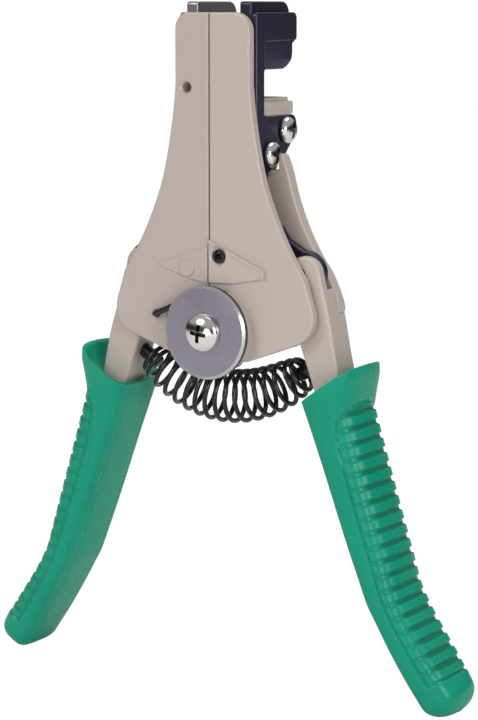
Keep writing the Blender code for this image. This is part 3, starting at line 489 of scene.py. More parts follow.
def rib_tree():
    """Sinks a panel into a grip's skin and raises ribs across it."""
    tree, given, out = tree_with("panel_ribs", [
        ("Pitch", "NodeSocketFloat"), ("Rib Height", "NodeSocketFloat"),
        ("Recess", "NodeSocketFloat"), ("Finish", "NodeSocketMaterial")])

    def stored(label):
        return node(tree, "GeometryNodeInputNamedAttribute", [("Name", label)],
                    data_type="FLOAT").outputs["Attribute"]

    turns = maths(tree, "DIVIDE", stored("down"), given["Pitch"])
    wave = maths(tree, "COSINE", maths(tree, "MULTIPLY", turns, math.tau))
    rib = node(tree, "ShaderNodeMapRange", [
        ("Value", wave), ("From Min", -0.6), ("From Max", -0.2), ("To Min", 0.0),
        ("To Max", 1.0)], interpolation_type="SMOOTHSTEP").outputs[0]
    raised = maths(tree, "MULTIPLY", maths(tree, "MULTIPLY", rib, stored("ribbed")),
                   given["Rib Height"])
    sunk = maths(tree, "MULTIPLY", stored("panel"), given["Recess"])
    lift = maths(tree, "SUBTRACT", maths(tree, "SUBTRACT", raised, sunk), stored("groove"))
    # Slot mask kept for the grip's material, which paints shade into the slots.
    slot_shade_mask = maths(tree, "MULTIPLY", maths(tree, "SUBTRACT", 1.0, rib), stored("ribbed"))
    kept = node(tree, "GeometryNodeStoreNamedAttribute", [
        ("Geometry", given["Geometry"]), ("Name", "slot"), ("Value", slot_shade_mask)],
        data_type="FLOAT", domain="POINT")
    normal = node(tree, "GeometryNodeInputNormal")
    push = node(tree, "ShaderNodeVectorMath", [(0, normal.outputs[0])], operation="SCALE")
    tree.links.new(lift, push.inputs["Scale"])
    moved = node(tree, "GeometryNodeSetPosition", [
        ("Geometry", kept.outputs[0]), ("Offset", push.outputs[0])])
    return end_tree(tree, moved.outputs[0], given, out)


def row_tree():
    """Repeats a screw in a row."""
    tree, given, out = tree_with("screw_row", [
        ("Count", "NodeSocketInt"), ("Step", "NodeSocketVector"),
        ("Finish", "NodeSocketMaterial")])
    row = node(tree, "GeometryNodeMeshLine", [
        ("Count", given["Count"]), ("Offset", given["Step"])])
    set_out = node(tree, "GeometryNodeInstanceOnPoints", [
        ("Points", row.outputs[0]), ("Instance", given["Geometry"])])
    return end_tree(tree, set_out.outputs[0], given, out)


def through_tree(tree, mesh, values):
    """Mesh after a tree, with the tree's inputs set by name."""
    held = linked("work", mesh)
    modifier = held.modifiers.new(tree.name, "NODES")
    modifier.node_group = tree
    for item in tree.interface.items_tree:
        if item.in_out == "INPUT" and item.name in values:
            modifier[item.identifier] = values[item.name]
    made = evaluated(held)
    bpy.data.objects.remove(held, do_unlink=True)
    return made


# Materials

def shader_group(name, inputs, outputs):
    group = bpy.data.node_groups.new(name, "ShaderNodeTree")
    for label, kind, value in inputs:
        socket = group.interface.new_socket(label, in_out="INPUT", socket_type=kind)
        socket.default_value = value
    for label, kind in outputs:
        group.interface.new_socket(label, in_out="OUTPUT", socket_type=kind)
    given = group.nodes.new("NodeGroupInput").outputs
    return group, given, group.nodes.new("NodeGroupOutput")


def surface_group():
    """Cloudy colour, fine grain, and edges lightened partly as wear and partly as painted
    highlight, shared by every finish.
    """
    group, given, out = shader_group("surface_wear_and_highlight", [
        ("Colour", "NodeSocketColor", (0.5, 0.5, 0.5, 1.0)),
        ("Wear And Highlight Colour", "NodeSocketColor", (0.8, 0.8, 0.8, 1.0)),
        ("Roughness", "NodeSocketFloat", 0.4),
        ("Cloud Size", "NodeSocketFloat", 60.0),
        ("Cloud", "NodeSocketFloat", 0.05),
        ("Speck Size", "NodeSocketFloat", 900.0),
        ("Speck", "NodeSocketFloat", 0.04),
        ("Wear And Highlight", "NodeSocketFloat", 0.2),
        ("Wear And Highlight Radius", "NodeSocketFloat", 0.0006)], [
        ("Colour", "NodeSocketColor"), ("Roughness", "NodeSocketFloat"),
        ("Grain", "NodeSocketFloat")])
    place = node(group, "ShaderNodeTexCoord").outputs["Object"]
    cloud = node(group, "ShaderNodeTexNoise", [
        ("Vector", place), ("Scale", given["Cloud Size"]), ("Detail", 3.0)]).outputs[0]
    speck = node(group, "ShaderNodeTexNoise", [
        ("Vector", place), ("Scale", given["Speck Size"]), ("Detail", 2.0)]).outputs[0]
    bevel = node(group, "ShaderNodeBevel", [("Radius", given["Wear And Highlight Radius"])], samples=4)
    true_normal = node(group, "ShaderNodeNewGeometry").outputs["Normal"]
    meet = node(group, "ShaderNodeVectorMath", [(0, bevel.outputs[0]), (1, true_normal)],
                operation="DOT_PRODUCT").outputs["Value"]
    # Edge mask: lightens edges, partly as wear and partly as a painted highlight.
    edge = node(group, "ShaderNodeMapRange", [
        ("Value", meet), ("From Min", 0.99), ("From Max", 0.86), ("To Min", 0.0),
        ("To Max", 1.0)]).outputs[0]
    patchy = node(group, "ShaderNodeMapRange", [
        ("Value", cloud), ("From Min", 0.35), ("From Max", 0.65), ("To Min", 0.35),
        ("To Max", 1.0)]).outputs[0]
    bare_and_lit = maths(group, "MULTIPLY", edge, patchy)
    wear_and_highlight = maths(group, "MULTIPLY", bare_and_lit, given["Wear And Highlight"], clamp=True)
    clouds = maths(group, "MULTIPLY", maths(group, "SUBTRACT", cloud, 0.5), given["Cloud"])
    specks = maths(group, "MULTIPLY", maths(group, "SUBTRACT", speck, 0.5), given["Speck"])
    shade = maths(group, "ADD", clouds, specks)
    tinted = node(group, "ShaderNodeVectorMath", [(0, given["Colour"])], operation="SCALE")
    group.links.new(maths(group, "ADD", shade, 1.0), tinted.inputs["Scale"])
    mixed = node(group, "ShaderNodeMix", [
        ("Factor", wear_and_highlight), (6, tinted.outputs[0]), (7, given["Wear And Highlight Colour"])], data_type="RGBA")
    rougher = maths(group, "MULTIPLY", shade, 1.2)
    rough = maths(group, "ADD", given["Roughness"], rougher, clamp=True)
    for label, value in (("Colour", mixed.outputs[2]), ("Roughness", rough), ("Grain", speck)):
        group.links.new(value, out.inputs[label])
    return group


def brushed_group():
    """Fine arcs of brushing about the pivot's axis, as a height."""
    group, given, out = shader_group("turned_brushing", [
        ("Density", "NodeSocketFloat", 5000.0), ("Centre", "NodeSocketVector", (0.0, 0.0, 0.0))], [
        ("Height", "NodeSocketFloat")])
    place = node(group, "ShaderNodeTexCoord").outputs["Object"]
    local = node(group, "ShaderNodeVectorMath", [(0, place), (1, given["Centre"])],
                 operation="SUBTRACT").outputs[0]
    flat = node(group, "ShaderNodeVectorMath", [(0, local), (1, (1.0, 0.0, 1.0))],
                operation="MULTIPLY").outputs[0]
    radius = node(group, "ShaderNodeVectorMath", [(0, flat)], operation="LENGTH").outputs["Value"]
    ringed = maths(group, "MULTIPLY", radius, given["Density"])
    rings = node(group, "ShaderNodeTexNoise", [("W", ringed), ("Scale", 1.0), ("Detail", 2.0)],
                 noise_dimensions="1D").outputs[0]
    spots = node(group, "ShaderNodeTexNoise", [
        ("Vector", place), ("Scale", 2600.0), ("Detail", 3.0)]).outputs[0]
    group.links.new(maths(group, "ADD", rings, spots), out.inputs["Height"])
    return group


def finish(name, colour, wear_and_highlight, roughness, metallic, cloud=0.06, speck=0.05, edge_wear_and_highlight=0.25,
           bump=0.04, sizes=(60.0, 900.0), coat=0.0, specular=0.5, brushed=0.0, radius=0.0006):
    """Material on the shared surface group, with its own amounts."""
    made = bpy.data.materials.new(name)
    made.use_nodes = True
    tree = made.node_tree
    shader = tree.nodes["Principled BSDF"]
    surface = tree.nodes.new("ShaderNodeGroup")
    surface.node_tree = GROUPS["surface"]
    for label, value in (("Colour", (*colour, 1.0)), ("Wear And Highlight Colour", (*wear_and_highlight, 1.0)),
                         ("Roughness", roughness), ("Cloud Size", sizes[0]), ("Cloud", cloud),
                         ("Speck Size", sizes[1]), ("Speck", speck), ("Wear And Highlight", edge_wear_and_highlight),
                         ("Wear And Highlight Radius", radius)):
        surface.inputs[label].default_value = value
    shader.inputs["Metallic"].default_value = metallic
    shader.inputs["Coat Weight"].default_value = coat
    shader.inputs["Coat Roughness"].default_value = 0.12
    shader.inputs["Specular IOR Level"].default_value = specular
    tree.links.new(surface.outputs["Colour"], shader.inputs["Base Color"])
    tree.links.new(surface.outputs["Roughness"], shader.inputs["Roughness"])
    height = surface.outputs["Grain"]
    if brushed:
        rings = tree.nodes.new("ShaderNodeGroup")
        rings.node_tree = GROUPS["brushed"]
        rings.inputs["Centre"].default_value = ORIGIN * MM
        height = rings.outputs["Height"]
    raised = tree.nodes.new("ShaderNodeBump")
    raised.inputs["Strength"].default_value = bump
    raised.inputs["Distance"].default_value = 0.0002
    tree.links.new(height, raised.inputs["Height"])
    tree.links.new(raised.outputs[0], shader.inputs["Normal"])
    return made


def paint_slot_shade(made, amount):
    """Darkens a finish in the slots between ribs, as painted shade."""
    tree = made.node_tree
    shader = tree.nodes["Principled BSDF"]
    base = shader.inputs["Base Color"].links[0].from_socket
    slot = node(tree, "ShaderNodeAttribute", attribute_name="slot")
    level = maths(tree, "ADD", maths(tree, "MULTIPLY", slot.outputs["Fac"], -amount), 1.0)
    shaded = node(tree, "ShaderNodeVectorMath", [(0, base)], operation="SCALE")
    tree.links.new(level, shaded.inputs["Scale"])
    tree.links.new(shaded.outputs[0], shader.inputs["Base Color"])
    return made


GROUPS = {}
FINISHES = {}


def make_finishes(tones):
    GROUPS["surface"] = surface_group()
    GROUPS["brushed"] = brushed_group()
    # Bare metal shown on worn paint edges, which also serves as a painted highlight.
    bare_and_lit = (0.62, 0.58, 0.55)
    FINISHES.update({
        # Dark copy of the nickel: painted shade in the screws' cross recesses and on the washer's
        # side.
        "recess": finish("painted_shade_nickel", (0.13, 0.12, 0.11), (0.5, 0.48, 0.45), 0.22, 0.9),
        "chrome": finish("polished_edge", (0.62, 0.61, 0.64), (0.95, 0.95, 0.95), 0.22, 1.0,
                         cloud=0.2, edge_wear_and_highlight=0.1, bump=0.02),
        "paint": finish("satin_paint", tones.paint, bare_and_lit, 0.36, 0.0, cloud=0.05, speck=0.05,
                        edge_wear_and_highlight=0.35, bump=0.05, sizes=(45.0, 1300.0), coat=0.12),
        # Same paint, darker: painted shade on the left head.
        "paint_shaded_left": finish("satin_paint_shaded_left", tones.paint_shaded_left, bare_and_lit, 0.36, 0.0, cloud=0.05,
                             speck=0.05, edge_wear_and_highlight=0.35, bump=0.05, sizes=(45.0, 1300.0), coat=0.12),
        # The grip's slots between ribs take painted shade.
        "grip": paint_slot_shade(finish(
            "soft_vinyl", tones.grip, (0.10, 0.50, 0.35), 0.30, 0.0, cloud=0.2, speck=0.08,
            edge_wear_and_highlight=0.3, bump=0.035, sizes=(85.0, 1500.0), specular=0.2), 0.32),
        # High edge amounts on the gun blue and grey nickel paint bright highlights along their
        # edges.
        "gunblue": finish("gun_blue", tones.gunblue, (0.5, 0.5, 0.55), 0.33, 0.75, cloud=0.25,
                          speck=0.12, edge_wear_and_highlight=0.75, bump=0.03, radius=0.00045),
        "grey": finish("grey_nickel", tones.grey, (0.6, 0.58, 0.58), 0.3, 0.85, cloud=0.2,
                       speck=0.1, edge_wear_and_highlight=0.8, bump=0.03, radius=0.00045),
        "nickel": finish("bright_nickel", tones.nickel, (0.9, 0.88, 0.85), 0.13, 1.0, cloud=0.1,
                         speck=0.06, edge_wear_and_highlight=0.1, bump=0.02),
        "zinc": finish("brushed_zinc", tones.zinc, (0.8, 0.79, 0.82), 0.36, 0.95, cloud=0.3,
                       speck=0.2, edge_wear_and_highlight=0.6, bump=0.1, sizes=(120.0, 3200.0), brushed=1.0),
        "spring": finish("black_spring", tones.spring, (0.2, 0.2, 0.2), 0.24, 0.5, cloud=0.2,
                         speck=0.1, edge_wear_and_highlight=0.1, bump=0.02, coat=0.3),
        "bronze": finish("plain_bronze", tones.bronze, (0.7, 0.5, 0.3), 0.4, 1.0),
    })


# Heads

def edge_soft():
    return bpy.context.scene.stripper_sizes.edge / MM


def plate_outline(side):
    seam = side * SEAM_X + GAP / 2
    half = TOWER_HALF_WIDTH
    flank = flowing([(half, 60.0), (half + 0.7, 53.0), (half + 2.8, 41.0), (15.8, 32.5),
                     (20.3, 22.5), (25.6, 13.8)])
    corner = rounded([(25.6, 13.8, 0), (29.9, 0.3, 7.0), (9.7, -7.0, 0)], 5.0)
    corner_radius = 4.6 if side > 0 else 3.8
    top = rounded([(seam, TOWER_TOP, 0.6), (half, TOWER_TOP, corner_radius), (half, 60.0, 0),
                   (seam, 60.0, 0)], 8.0)[:-2]
    return top + flank + corner + [(2.6, -KNUCKLE_RADIUS + 0.9), (seam, -4.0)]


def lapped(work, side, front, back):
    """Half-lap knuckle about the pivot, with the bush's hole."""
    middle = (front + back) / 2
    own = (front, middle - GAP / 2) if side > 0 else (middle + GAP / 2, back)
    other = (middle - GAP / 2, back + 1) if side > 0 else (front - 1, middle + GAP / 2)
    work.combine(prism(circle((0, 0), KNUCKLE_RADIUS + GAP), *other))
    work.join(prism(circle((0, 0), KNUCKLE_RADIUS), *own))
    work.combine(bored((0, 0), BUSH_RADIUS, front - 1, back + 1))


def torsion_leg():
    """Tip of the torsion spring's front leg, and the direction the leg runs in."""
    angle = math.radians(TORSION_LEG_ANGLE)
    leave = Vector((math.cos(angle), 0.0, math.sin(angle))) * TORSION_RADIUS
    along = Vector((-math.sin(angle), 0.0, math.cos(angle)))
    return leave + along * TORSION_LEG, along


def front_plate(hand, side):
    work = Work(prism(plate_outline(side), 0.0, PLATE_BACK, soft=edge_soft()))
    lapped(work, side, 0.0, PLATE_BACK)
    if side > 0:
        inner = TORSION_RADIUS + RIM_CLEAR + GAP
        rim = arc((0, 0), inner + RIM_WALL, -48.0, 62.0, 40) + arc((0, 0), inner, 62.0, -48.0, 40)
        work.join(prism(rim, -1.7, 0.6, soft=0.25))
        wedge = rounded([(-0.7, 22.0, 0), (14.7, 15.4, 0.7), (14.7, 13.6, 0.7), (5.6, 11.9, 0.6),
                         (-0.7, 11.9, 0)], 15.0)
        work.join(prism(wedge, -0.6, 0.6, soft=0.25))
        ridge = rounded([(-0.7, 22.4, 0), (15.0, 15.7, 0.7), (15.0, 13.5, 0), (14.2, 13.5, 0),
                         (14.2, 15.2, 0), (-0.7, 21.6, 0)], 15.0)
        work.join(prism(ridge, -0.95, 0.6, soft=0.2))
        work.combine(countersunk((2.0, 18.4), 1.72, 4.0, 0.15))
    else:
        wedge = rounded([(1.1, 20.4, 0), (15.3, 16.0, 0.3), (15.3, 15.4, 0.3), (6.0, 12.3, 0.8),
                         (1.1, 11.6, 0)], 15.0)
        work.join(prism(wedge, -0.4, 0.6, soft=0.35))
        work.join(prism(circle((6.9, 15.1), 2.1), -0.85, 0.6, soft=0.3))
        work.combine(countersunk((7.4, 59.0), 1.3, 4.0, 0.5))
        tip, _ = torsion_leg()
        work.combine(countersunk((-tip.x, tip.z), 0.95, 4.0, 0.2))
    return work


def arm_outline():
    under = BRACKET_LOW - 2 * GAP
    under_screw = PLATE_SCREWS["lower"][1] - PLATE_SCREW_HEAD - GAP
    clear = HOOK_OUTER + GAP
    beside = clear + PLATE_SCREW_HEIGHT + GAP
    top = [(ARM_INNER, under), (clear, under), (clear, under_screw), (beside, under_screw),
           (beside, 42.6), (beside + 0.5, 43.2)]
    flank = flowing([(beside + 1.2, 42.6), (16.2, 39.2), (18.1, 32.5), (20.9, 25.5), (24.5, 18.9),
                     (27.1, 15.2), (29.1, 11.4), (30.4, 8.0), (30.7, 6.3), (30.3, 5.2)], 8)
    boss = arc(PIN_AT, ARM_BOSS_RADIUS, -52.0, -135.0, 24)
    return top + flank + boss + [(5.0, -6.2), (ARM_INNER, -6.0)]


def rear_arm(side):
    work = Work(prism(arm_outline(), ARM_FRONT, ARM_BACK, soft=edge_soft()))
    lapped(work, side, ARM_FRONT, ARM_BACK)
    block_top = JAW_BOTTOM - 2 * GAP
    block = rounded([(ARM_FRONT, 34.0, 0), (ARM_FRONT, block_top, 0), (19.0, block_top, 1.5),
                     (19.0, 46.0, 3.0), (ARM_BACK + 0.5, 34.0, 0)])
    work.join(prism(block, ARM_INNER, BLOCK_OUTER, "X", soft=0.3))
    work.combine(bored(PIN_AT, WING_PIN_RADIUS, ARM_FRONT - 1, ARM_BACK + 1))
    for place in PLATE_SCREWS.values():
        work.combine(prism(circle(place, PLATE_SCREW_HOLE, 24), 0.9, BLOCK_OUTER + 1, "X"))
    return work


def hook_plate():
    """Hook with a stepped, ground lower edge, over a bar and a screwed bracket."""
    soft = bpy.context.scene.stripper_sizes.hook_edge / MM
    low_y, low_z = PLATE_SCREWS["lower"]
    outline = rounded([
        (HOOK_FRONT, 31.0, 0.5), (HOOK_FRONT, HOOK_TOP, 1.0), (HOOK_REACH, HOOK_TOP, 1.6),
        (HOOK_REACH, HOOK_STEP + 0.4, 1.2), (EDGE_REACH, HOOK_STEP - 0.6, 0.35),
        (EDGE_REACH, HOOK_EDGE, 4.2), (BAR_BACK, HOOK_EDGE, 0.6), (BAR_BACK, BRACKET_TOP, 0.6),
        (HOOK_REACH, BRACKET_TOP, 2.4), (HOOK_REACH, 47.6, 1.0), (17.0, 42.6, 1.0),
        (low_y + 3.4, low_z - 3.6, 1.0), (8.4, BRACKET_LOW, 1.0), (8.4, 31.0, 1.2)], 9.0)
    work = Work(prism(outline, HOOK_INNER, HOOK_OUTER, "X", soft=soft))
    step = [(BAR_BACK + 0.2, HOOK_EDGE - 1), (BAR_BACK + 0.2, HOOK_STEP), (25.0, HOOK_STEP + 0.3),
            (25.0, HOOK_EDGE - 1)]
    work.combine(prism(step, HOOK_OUTER - HOOK_STEP_DEPTH, HOOK_OUTER + 1, "X"))
    ground = [(HOOK_OUTER - HOOK_STEP_DEPTH, HOOK_EDGE + 2.3), (HOOK_OUTER + 1, HOOK_EDGE + 2.3),
              (HOOK_OUTER + 1, HOOK_EDGE - 1), (HOOK_OUTER - 1.35, HOOK_EDGE - 1),
              (HOOK_OUTER - 1.0, HOOK_EDGE)]
    work.combine(prism(ground, BAR_BACK + 0.9, 25.0))
    work.combine(prism(circle((14.6, 50.4), 0.55, 24), HOOK_OUTER - 0.3, HOOK_OUTER + 1, "X"))
    for place in PLATE_SCREWS.values():
        work.combine(prism(circle(place, PLATE_SCREW_HOLE, 32), HOOK_INNER - 1, HOOK_OUTER + 1,
                           "X"))
    return work


def upper_block():
    outline = rounded([
        (3.3, HOOK_EDGE, 0), (3.3, BLOCK_TOP, 0.8), (HOOK_REACH - 0.6, BLOCK_TOP, 3.2),
        (HOOK_REACH - 0.6, HOOK_STEP + 2.0, 1.0), (EDGE_REACH, HOOK_STEP, 0.6),
        (EDGE_REACH, HOOK_EDGE, 3.4)], 9.0)
    return Work(prism(outline, BLOCK_INNER, BLOCK_OUTER, "X", soft=0.35))


def jaw_foot():
    low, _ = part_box("lower_jaw_right")
    return low.z / MM - ORIGIN.z


def lower_jaw():
    """Stem, foot, and the grooved bar that carries the insert."""
    foot = jaw_foot()
    inner, outer, reach = ARM_INNER, 5.4, 21.2
    stem = [(inner, foot), (outer, foot), (outer, 26.0), (8.8, 31.0), (8.8, JAW_TOP - 1.0),
            (inner, JAW_TOP - 1.0)]
    work = Work(prism(stem, HOOK_FRONT, 6.6, soft=0.3))
    work.join(prism([(inner, foot), (outer, foot), (outer, foot + 4.0), (inner, foot + 4.0)], 3.9,
                    CAM_BACK))
    bar = [(HOOK_FRONT, JAW_BOTTOM), (HOOK_FRONT, JAW_TOP), (reach, JAW_TOP),
           (reach, JAW_BOTTOM)]
    work.join(prism(bar, 0.6, BLOCK_OUTER, "X", soft=0.3))
    ledge = rounded([(7.0, 52.3, 0), (7.0, JAW_TOP - 0.9, 0), (reach, JAW_TOP - 0.9, 0.8),
                     (reach, 52.3, 0.8)])
    work.join(prism(ledge, BLOCK_OUTER - 1.0, 10.5, "X", soft=0.15))
    floor = JAW_TOP - 2.7
    slot = [(1.9, floor), (1.9, JAW_TOP + 1), (reach + 1, JAW_TOP + 1), (reach + 1, floor)]
    work.combine(prism(slot, 5.9, 8.3, "X"))
    return work


def cam():
    """Cam under the handle's ear, with its nose under the lower jaw's foot."""
    nose_z = jaw_foot() - 2.0 - GAP
    nose_x = PIN_X - math.sqrt(19.79 ** 2 - (PIN_Z - nose_z) ** 2)
    corners = [(nose_x - 2.0, nose_z + 2.0, 1.99), (8.6, nose_z + 2.0, 1.5), (11.4, 25.0, 1.6),
               (15.2, 26.4, 1.0), (17.6, 22.9, 2.5)]
    corners += [(x, z, 0) for x, z in arc(PIN_AT, 5.5, 92.0, -110.0, 24)]
    corners += [(17.0, nose_z - 2.2, 2.0), (nose_x - 2.0, nose_z - 2.0, 1.99)]
    work = Work(prism(rounded(corners), CAM_FRONT, CAM_BACK, soft=0.35))
    work.combine(bored(PIN_AT, WING_PIN_RADIUS, CAM_FRONT - 1, CAM_BACK + 1))
    work.combine(bored(DOWEL, DOWEL_RADIUS, CAM_FRONT - 1, CAM_BACK + 1))
    return work


# Handles

def handle(side):
    down, out = heading(GRIP_LEAN), across(GRIP_LEAN)
    neck, end = GRIP_START + down * 1.5, GRIP_START + down * 44.0
    tuck = 0.0 if side > 0 else 1.2
    half = out * 3.3
    outer = flowing([(28.1 - tuck, 16.1), (29.4 - tuck, 10.4), (31.0 - tuck * 0.7, 4.1),
                     (32.4, -3.3), tuple(neck + half)], 8)
    tang = [tuple(neck + half), tuple(end + half), tuple(end - half), tuple(neck - half)]
    inner = [tuple(neck - out * 3.9), (23.1, -3.0), (20.9, 4.0)]
    lobe = arc(DOWEL, 2.6, 230.0, 110.0, 12)
    top = arc((23.8 - tuck, 14.8), 4.5, 125.0, 18.0, 18)
    work = Work(prism(outer + tang + inner + lobe + top, EAR_FRONT, SHANK_BACK,
                      soft=min(0.9, edge_soft() * 1.7)))
    work.combine(bored(PIN_AT, 7.5, EAR_BACK, SHANK_BACK + 1, 0.0))
    work.combine(bored(PIN_AT, ARM_BOSS_RADIUS, CAM_BACK, SHANK_BACK + 1, 0.12))
    work.combine(bored(PIN_AT, WING_PIN_RADIUS, EAR_FRONT - 1, CAM_FRONT))
    return work


def grip_lines():
    """Rows down the grip of (place, tilt, inside, outside, depth), from its rim to its tip."""
    down, flare = heading(GRIP_LEAN), heading(GRIP_FLARE)
    bend = GRIP_START + down * GRIP_STRAIGHT
    rows = []
    for drop, share in ((0.0, 1.0), (1.6, 0.86), (3.4, 0.5), (5.2, 0.2), (7.5, 0.0)):
        rows.append((GRIP_START + down * (drop - COLLAR_RISE),
                     GRIP_LEAN + (COLLAR_TILT - GRIP_LEAN) * share, 6.5, 6.2 + 4.4 * share,
                     GRIP_DEPTH + 3.0 * share))
    for share, lean, inside in ((0.3, 0.0, 6.1), (0.45, 0.0, 5.9), (0.6, 0.3, 5.72),
                                (0.75, 1.2, 5.45), (0.88, 3.0, 5.1)):
        rows.append((GRIP_START + down * GRIP_STRAIGHT * share, GRIP_LEAN + lean, inside,
                     6.2 - 1.6 * share, GRIP_DEPTH))
    rows.append((bend, (GRIP_LEAN + GRIP_FLARE) / 2, 4.75, 4.6, GRIP_DEPTH))
    for share, lean, inside, outside, depth in (
            (0.16, -2.2, 4.85, 4.15, GRIP_DEPTH), (0.35, -0.6, 5.0, 4.1, GRIP_DEPTH),
            (0.6, 0.0, 5.05, 4.5, 18.8), (0.8, 0.0, 5.0, 4.95, 18.0), (1.0, 0.0, 5.0, 5.3, 16.2)):
        rows.append((bend + flare * GRIP_TIP_RUN * share, GRIP_FLARE + lean, inside, outside,
                     depth))
    return rows


def even_turns(around):
    """Turns about a grip's section that space its points evenly along the outline."""
    turns = np.linspace(0.0, math.tau, 7201)
    cos, sin = np.cos(turns), np.sin(turns)
    power = np.where(cos > 0, OUTER_POWER, INNER_POWER)
    w = np.sign(cos) * np.abs(cos) ** power * 5.8
    d = np.sign(sin) * np.abs(sin) ** power * 9.5
    run = np.concatenate([[0.0], np.cumsum(np.hypot(np.diff(w), np.diff(d)))])
    return np.interp(np.arange(around) * run[-1] / around, run, turns)


def grip_section(centre, tilt, inside, outside, depth, turns):
    """Section across the grip: squarer on its inner half, fuller on its outer half."""
    outwards = across(tilt)
    middle = centre + outwards * (outside - inside) / 2
    half = (inside + outside) / 2
    ring = []
    for turn in turns:
        cos, sin = math.cos(turn), math.sin(turn)
        power = OUTER_POWER if cos > 0 else INNER_POWER
        w = math.copysign(abs(cos) ** power, cos) * half
        d = math.copysign(abs(sin) ** power, sin) * depth / 2
        place = middle + outwards * w
        ring.append((place.x, SHANK_MIDDLE + d, place.y))
    return ring


def between(rows, at):
    """Row part of the way between two rows, on a smooth curve through all of them."""
    index = min(int(at), len(rows) - 2)
    t = at - index
    picked = [rows[max(0, min(len(rows) - 1, index + k))] for k in (-1, 0, 1, 2)]
    a, b, c, d = (np.array([*row[0], *row[1:]]) for row in picked)
    mixed = (2 * b + (c - a) * t + (2 * a - 5 * b + 4 * c - d) * t * t
             + (3 * b - a - 3 * c + d) * t ** 3) / 2
    return (Vector(mixed[:2]), *mixed[2:])


def ramp(value, low, high):
    t = np.clip((value - low) / (high - low), 0, 1)
    return t * t * (3 - 2 * t)


def grip_mesh(settings, edge, around=176):
    """Sleeve as one skin, from the cup's floor, over the rim and down to the rounded tip.

    Edge is where the ribbed panel starts across the front of its section.
    """
    rows = grip_lines()
    rim = rows[0]

    def shrunk(row, by, lower=0.0):
        place = row[0] + heading(GRIP_LEAN) * lower
        return (place, row[1], row[2] - by, row[3] - by, row[4] - 2 * by)

    floor = (GRIP_START + heading(GRIP_LEAN) * 1.0, GRIP_LEAN, 4.4, 3.9, 10.4)
    skin = [(floor, 0)]
    top = shrunk(rim, GRIP_WALL, 0.5)
    for share in (0.25, 0.5, 0.75):
        skin.append((tuple(f + (t - f) * share if not isinstance(f, Vector)
                           else f.lerp(t, share) for f, t in zip(floor, top)), 0))
    for share, lower in ((1.0, 0.35), (0.8, 0.06), (0.5, -0.02), (0.2, 0.06)):
        skin.append((shrunk(rim, GRIP_WALL * share, lower), 0))
    at = 0.0
    last = len(rows) - 1
    while at < last:
        row = between(rows, at)
        skin.append((row, 1))
        ahead = between(rows, min(at + 0.02, last))
        at += 0.02 * SKIN_STEP / max((ahead[0] - row[0]).length, 1e-3)
    tip = rows[-1]
    radius = (tip[2] + tip[3]) / 2
    flare = heading(GRIP_FLARE)
    for step in range(15):
        turn = math.radians(90.0 * step / 15)
        cos, sin = math.cos(turn), math.sin(turn)
        middle = tip[0] + across(GRIP_FLARE) * (tip[3] - tip[2]) / 2
        skin.append(((middle + flare * radius * sin, tip[1], radius * cos, radius * cos,
                      tip[4] * cos ** 0.85), 1))
    turns = even_turns(around)
    bm = loft([grip_section(*row, turns) for row, _ in skin])
    mesh = mesh_of(bm)
    start, bend = GRIP_START, GRIP_START + heading(GRIP_LEAN) * GRIP_STRAIGHT
    co = np.empty(len(mesh.vertices) * 3)
    mesh.vertices.foreach_get("co", co)
    co = co.reshape(-1, 3)
    outer = np.repeat([kind for _, kind in skin], around)
    down = np.repeat([((row[0] - start).dot(heading(GRIP_LEAN))
                       if (row[0] - bend).dot(heading(GRIP_FLARE)) < 0
                       else GRIP_STRAIGHT + (row[0] - bend).length) for row, _ in skin], around)
    turn = np.tile(turns, len(skin))
    wide = np.sign(np.cos(turn)) * np.abs(np.cos(turn)) ** OUTER_POWER

    front = co[:, 1] < SHANK_MIDDLE
    flare_out = np.exp(-np.clip(down - 5.0, 0, None) / 4.0)
    border = np.where(front, edge, PANEL_EDGE["right"]) + 0.42 * flare_out
    top = 8.0 - 4.6 * np.clip(wide, 0, 1)
    bottom = GRIP_STRAIGHT + GRIP_TIP_RUN - 3.4
    panel = (ramp(wide, border - 0.025, border + 0.025) * ramp(down, top, top + 0.7)
             * (1 - ramp(down, bottom, bottom + 0.8))) * outer
    across_side = np.sin(turn)
    bold = ramp(across_side, -0.72, -0.5) * (1 - ramp(across_side, 0.8, 0.92))
    inside = (ramp(wide, border + 0.02, border + 0.1) * ramp(down, top + 0.5, top + 1.2)
              * (1 - ramp(down, bottom - 0.6, bottom + 0.2))) * outer * (0.36 + 0.64 * bold)
    line = np.exp(-((np.abs(co[:, 1] - SHANK_MIDDLE) - 5.6) / 0.22) ** 2) * (np.cos(turn) < -0.5)
    line = line * ramp(down, 3.0, 3.5) * (1 - ramp(down, 70.0, 72.0)) * outer * 0.22
    seam = np.exp(-((co[:, 1] - SHANK_MIDDLE) / 0.25) ** 2) * (np.cos(turn) > 0.5) * outer * 0.12
    for label, values in (("down", down), ("panel", panel), ("ribbed", inside),
                          ("groove", line - seam)):
        stored = mesh.attributes.new(label, "FLOAT", "POINT")
        stored.data.foreach_set("value", np.asarray(values, np.float32))
    made = through_tree(rib_tree(), mesh, {
        "Pitch": settings.rib_pitch / MM, "Rib Height": settings.rib_height / MM,
        "Recess": settings.recess / MM, "Finish": FINISHES["grip"]})
    for label in ("down", "panel", "ribbed", "groove"):
        made.attributes.remove(made.attributes[label])
    return made


# Springs

def polyline(points):
    mesh = bpy.data.meshes.new("path")
    mesh.from_pydata(points, [(i, i + 1) for i in range(len(points) - 1)], [])
    return mesh


def spring_heading(t):
    return Vector((SPRING_END[0], 0.0, 2 * SPRING_SAG * t)).normalized()


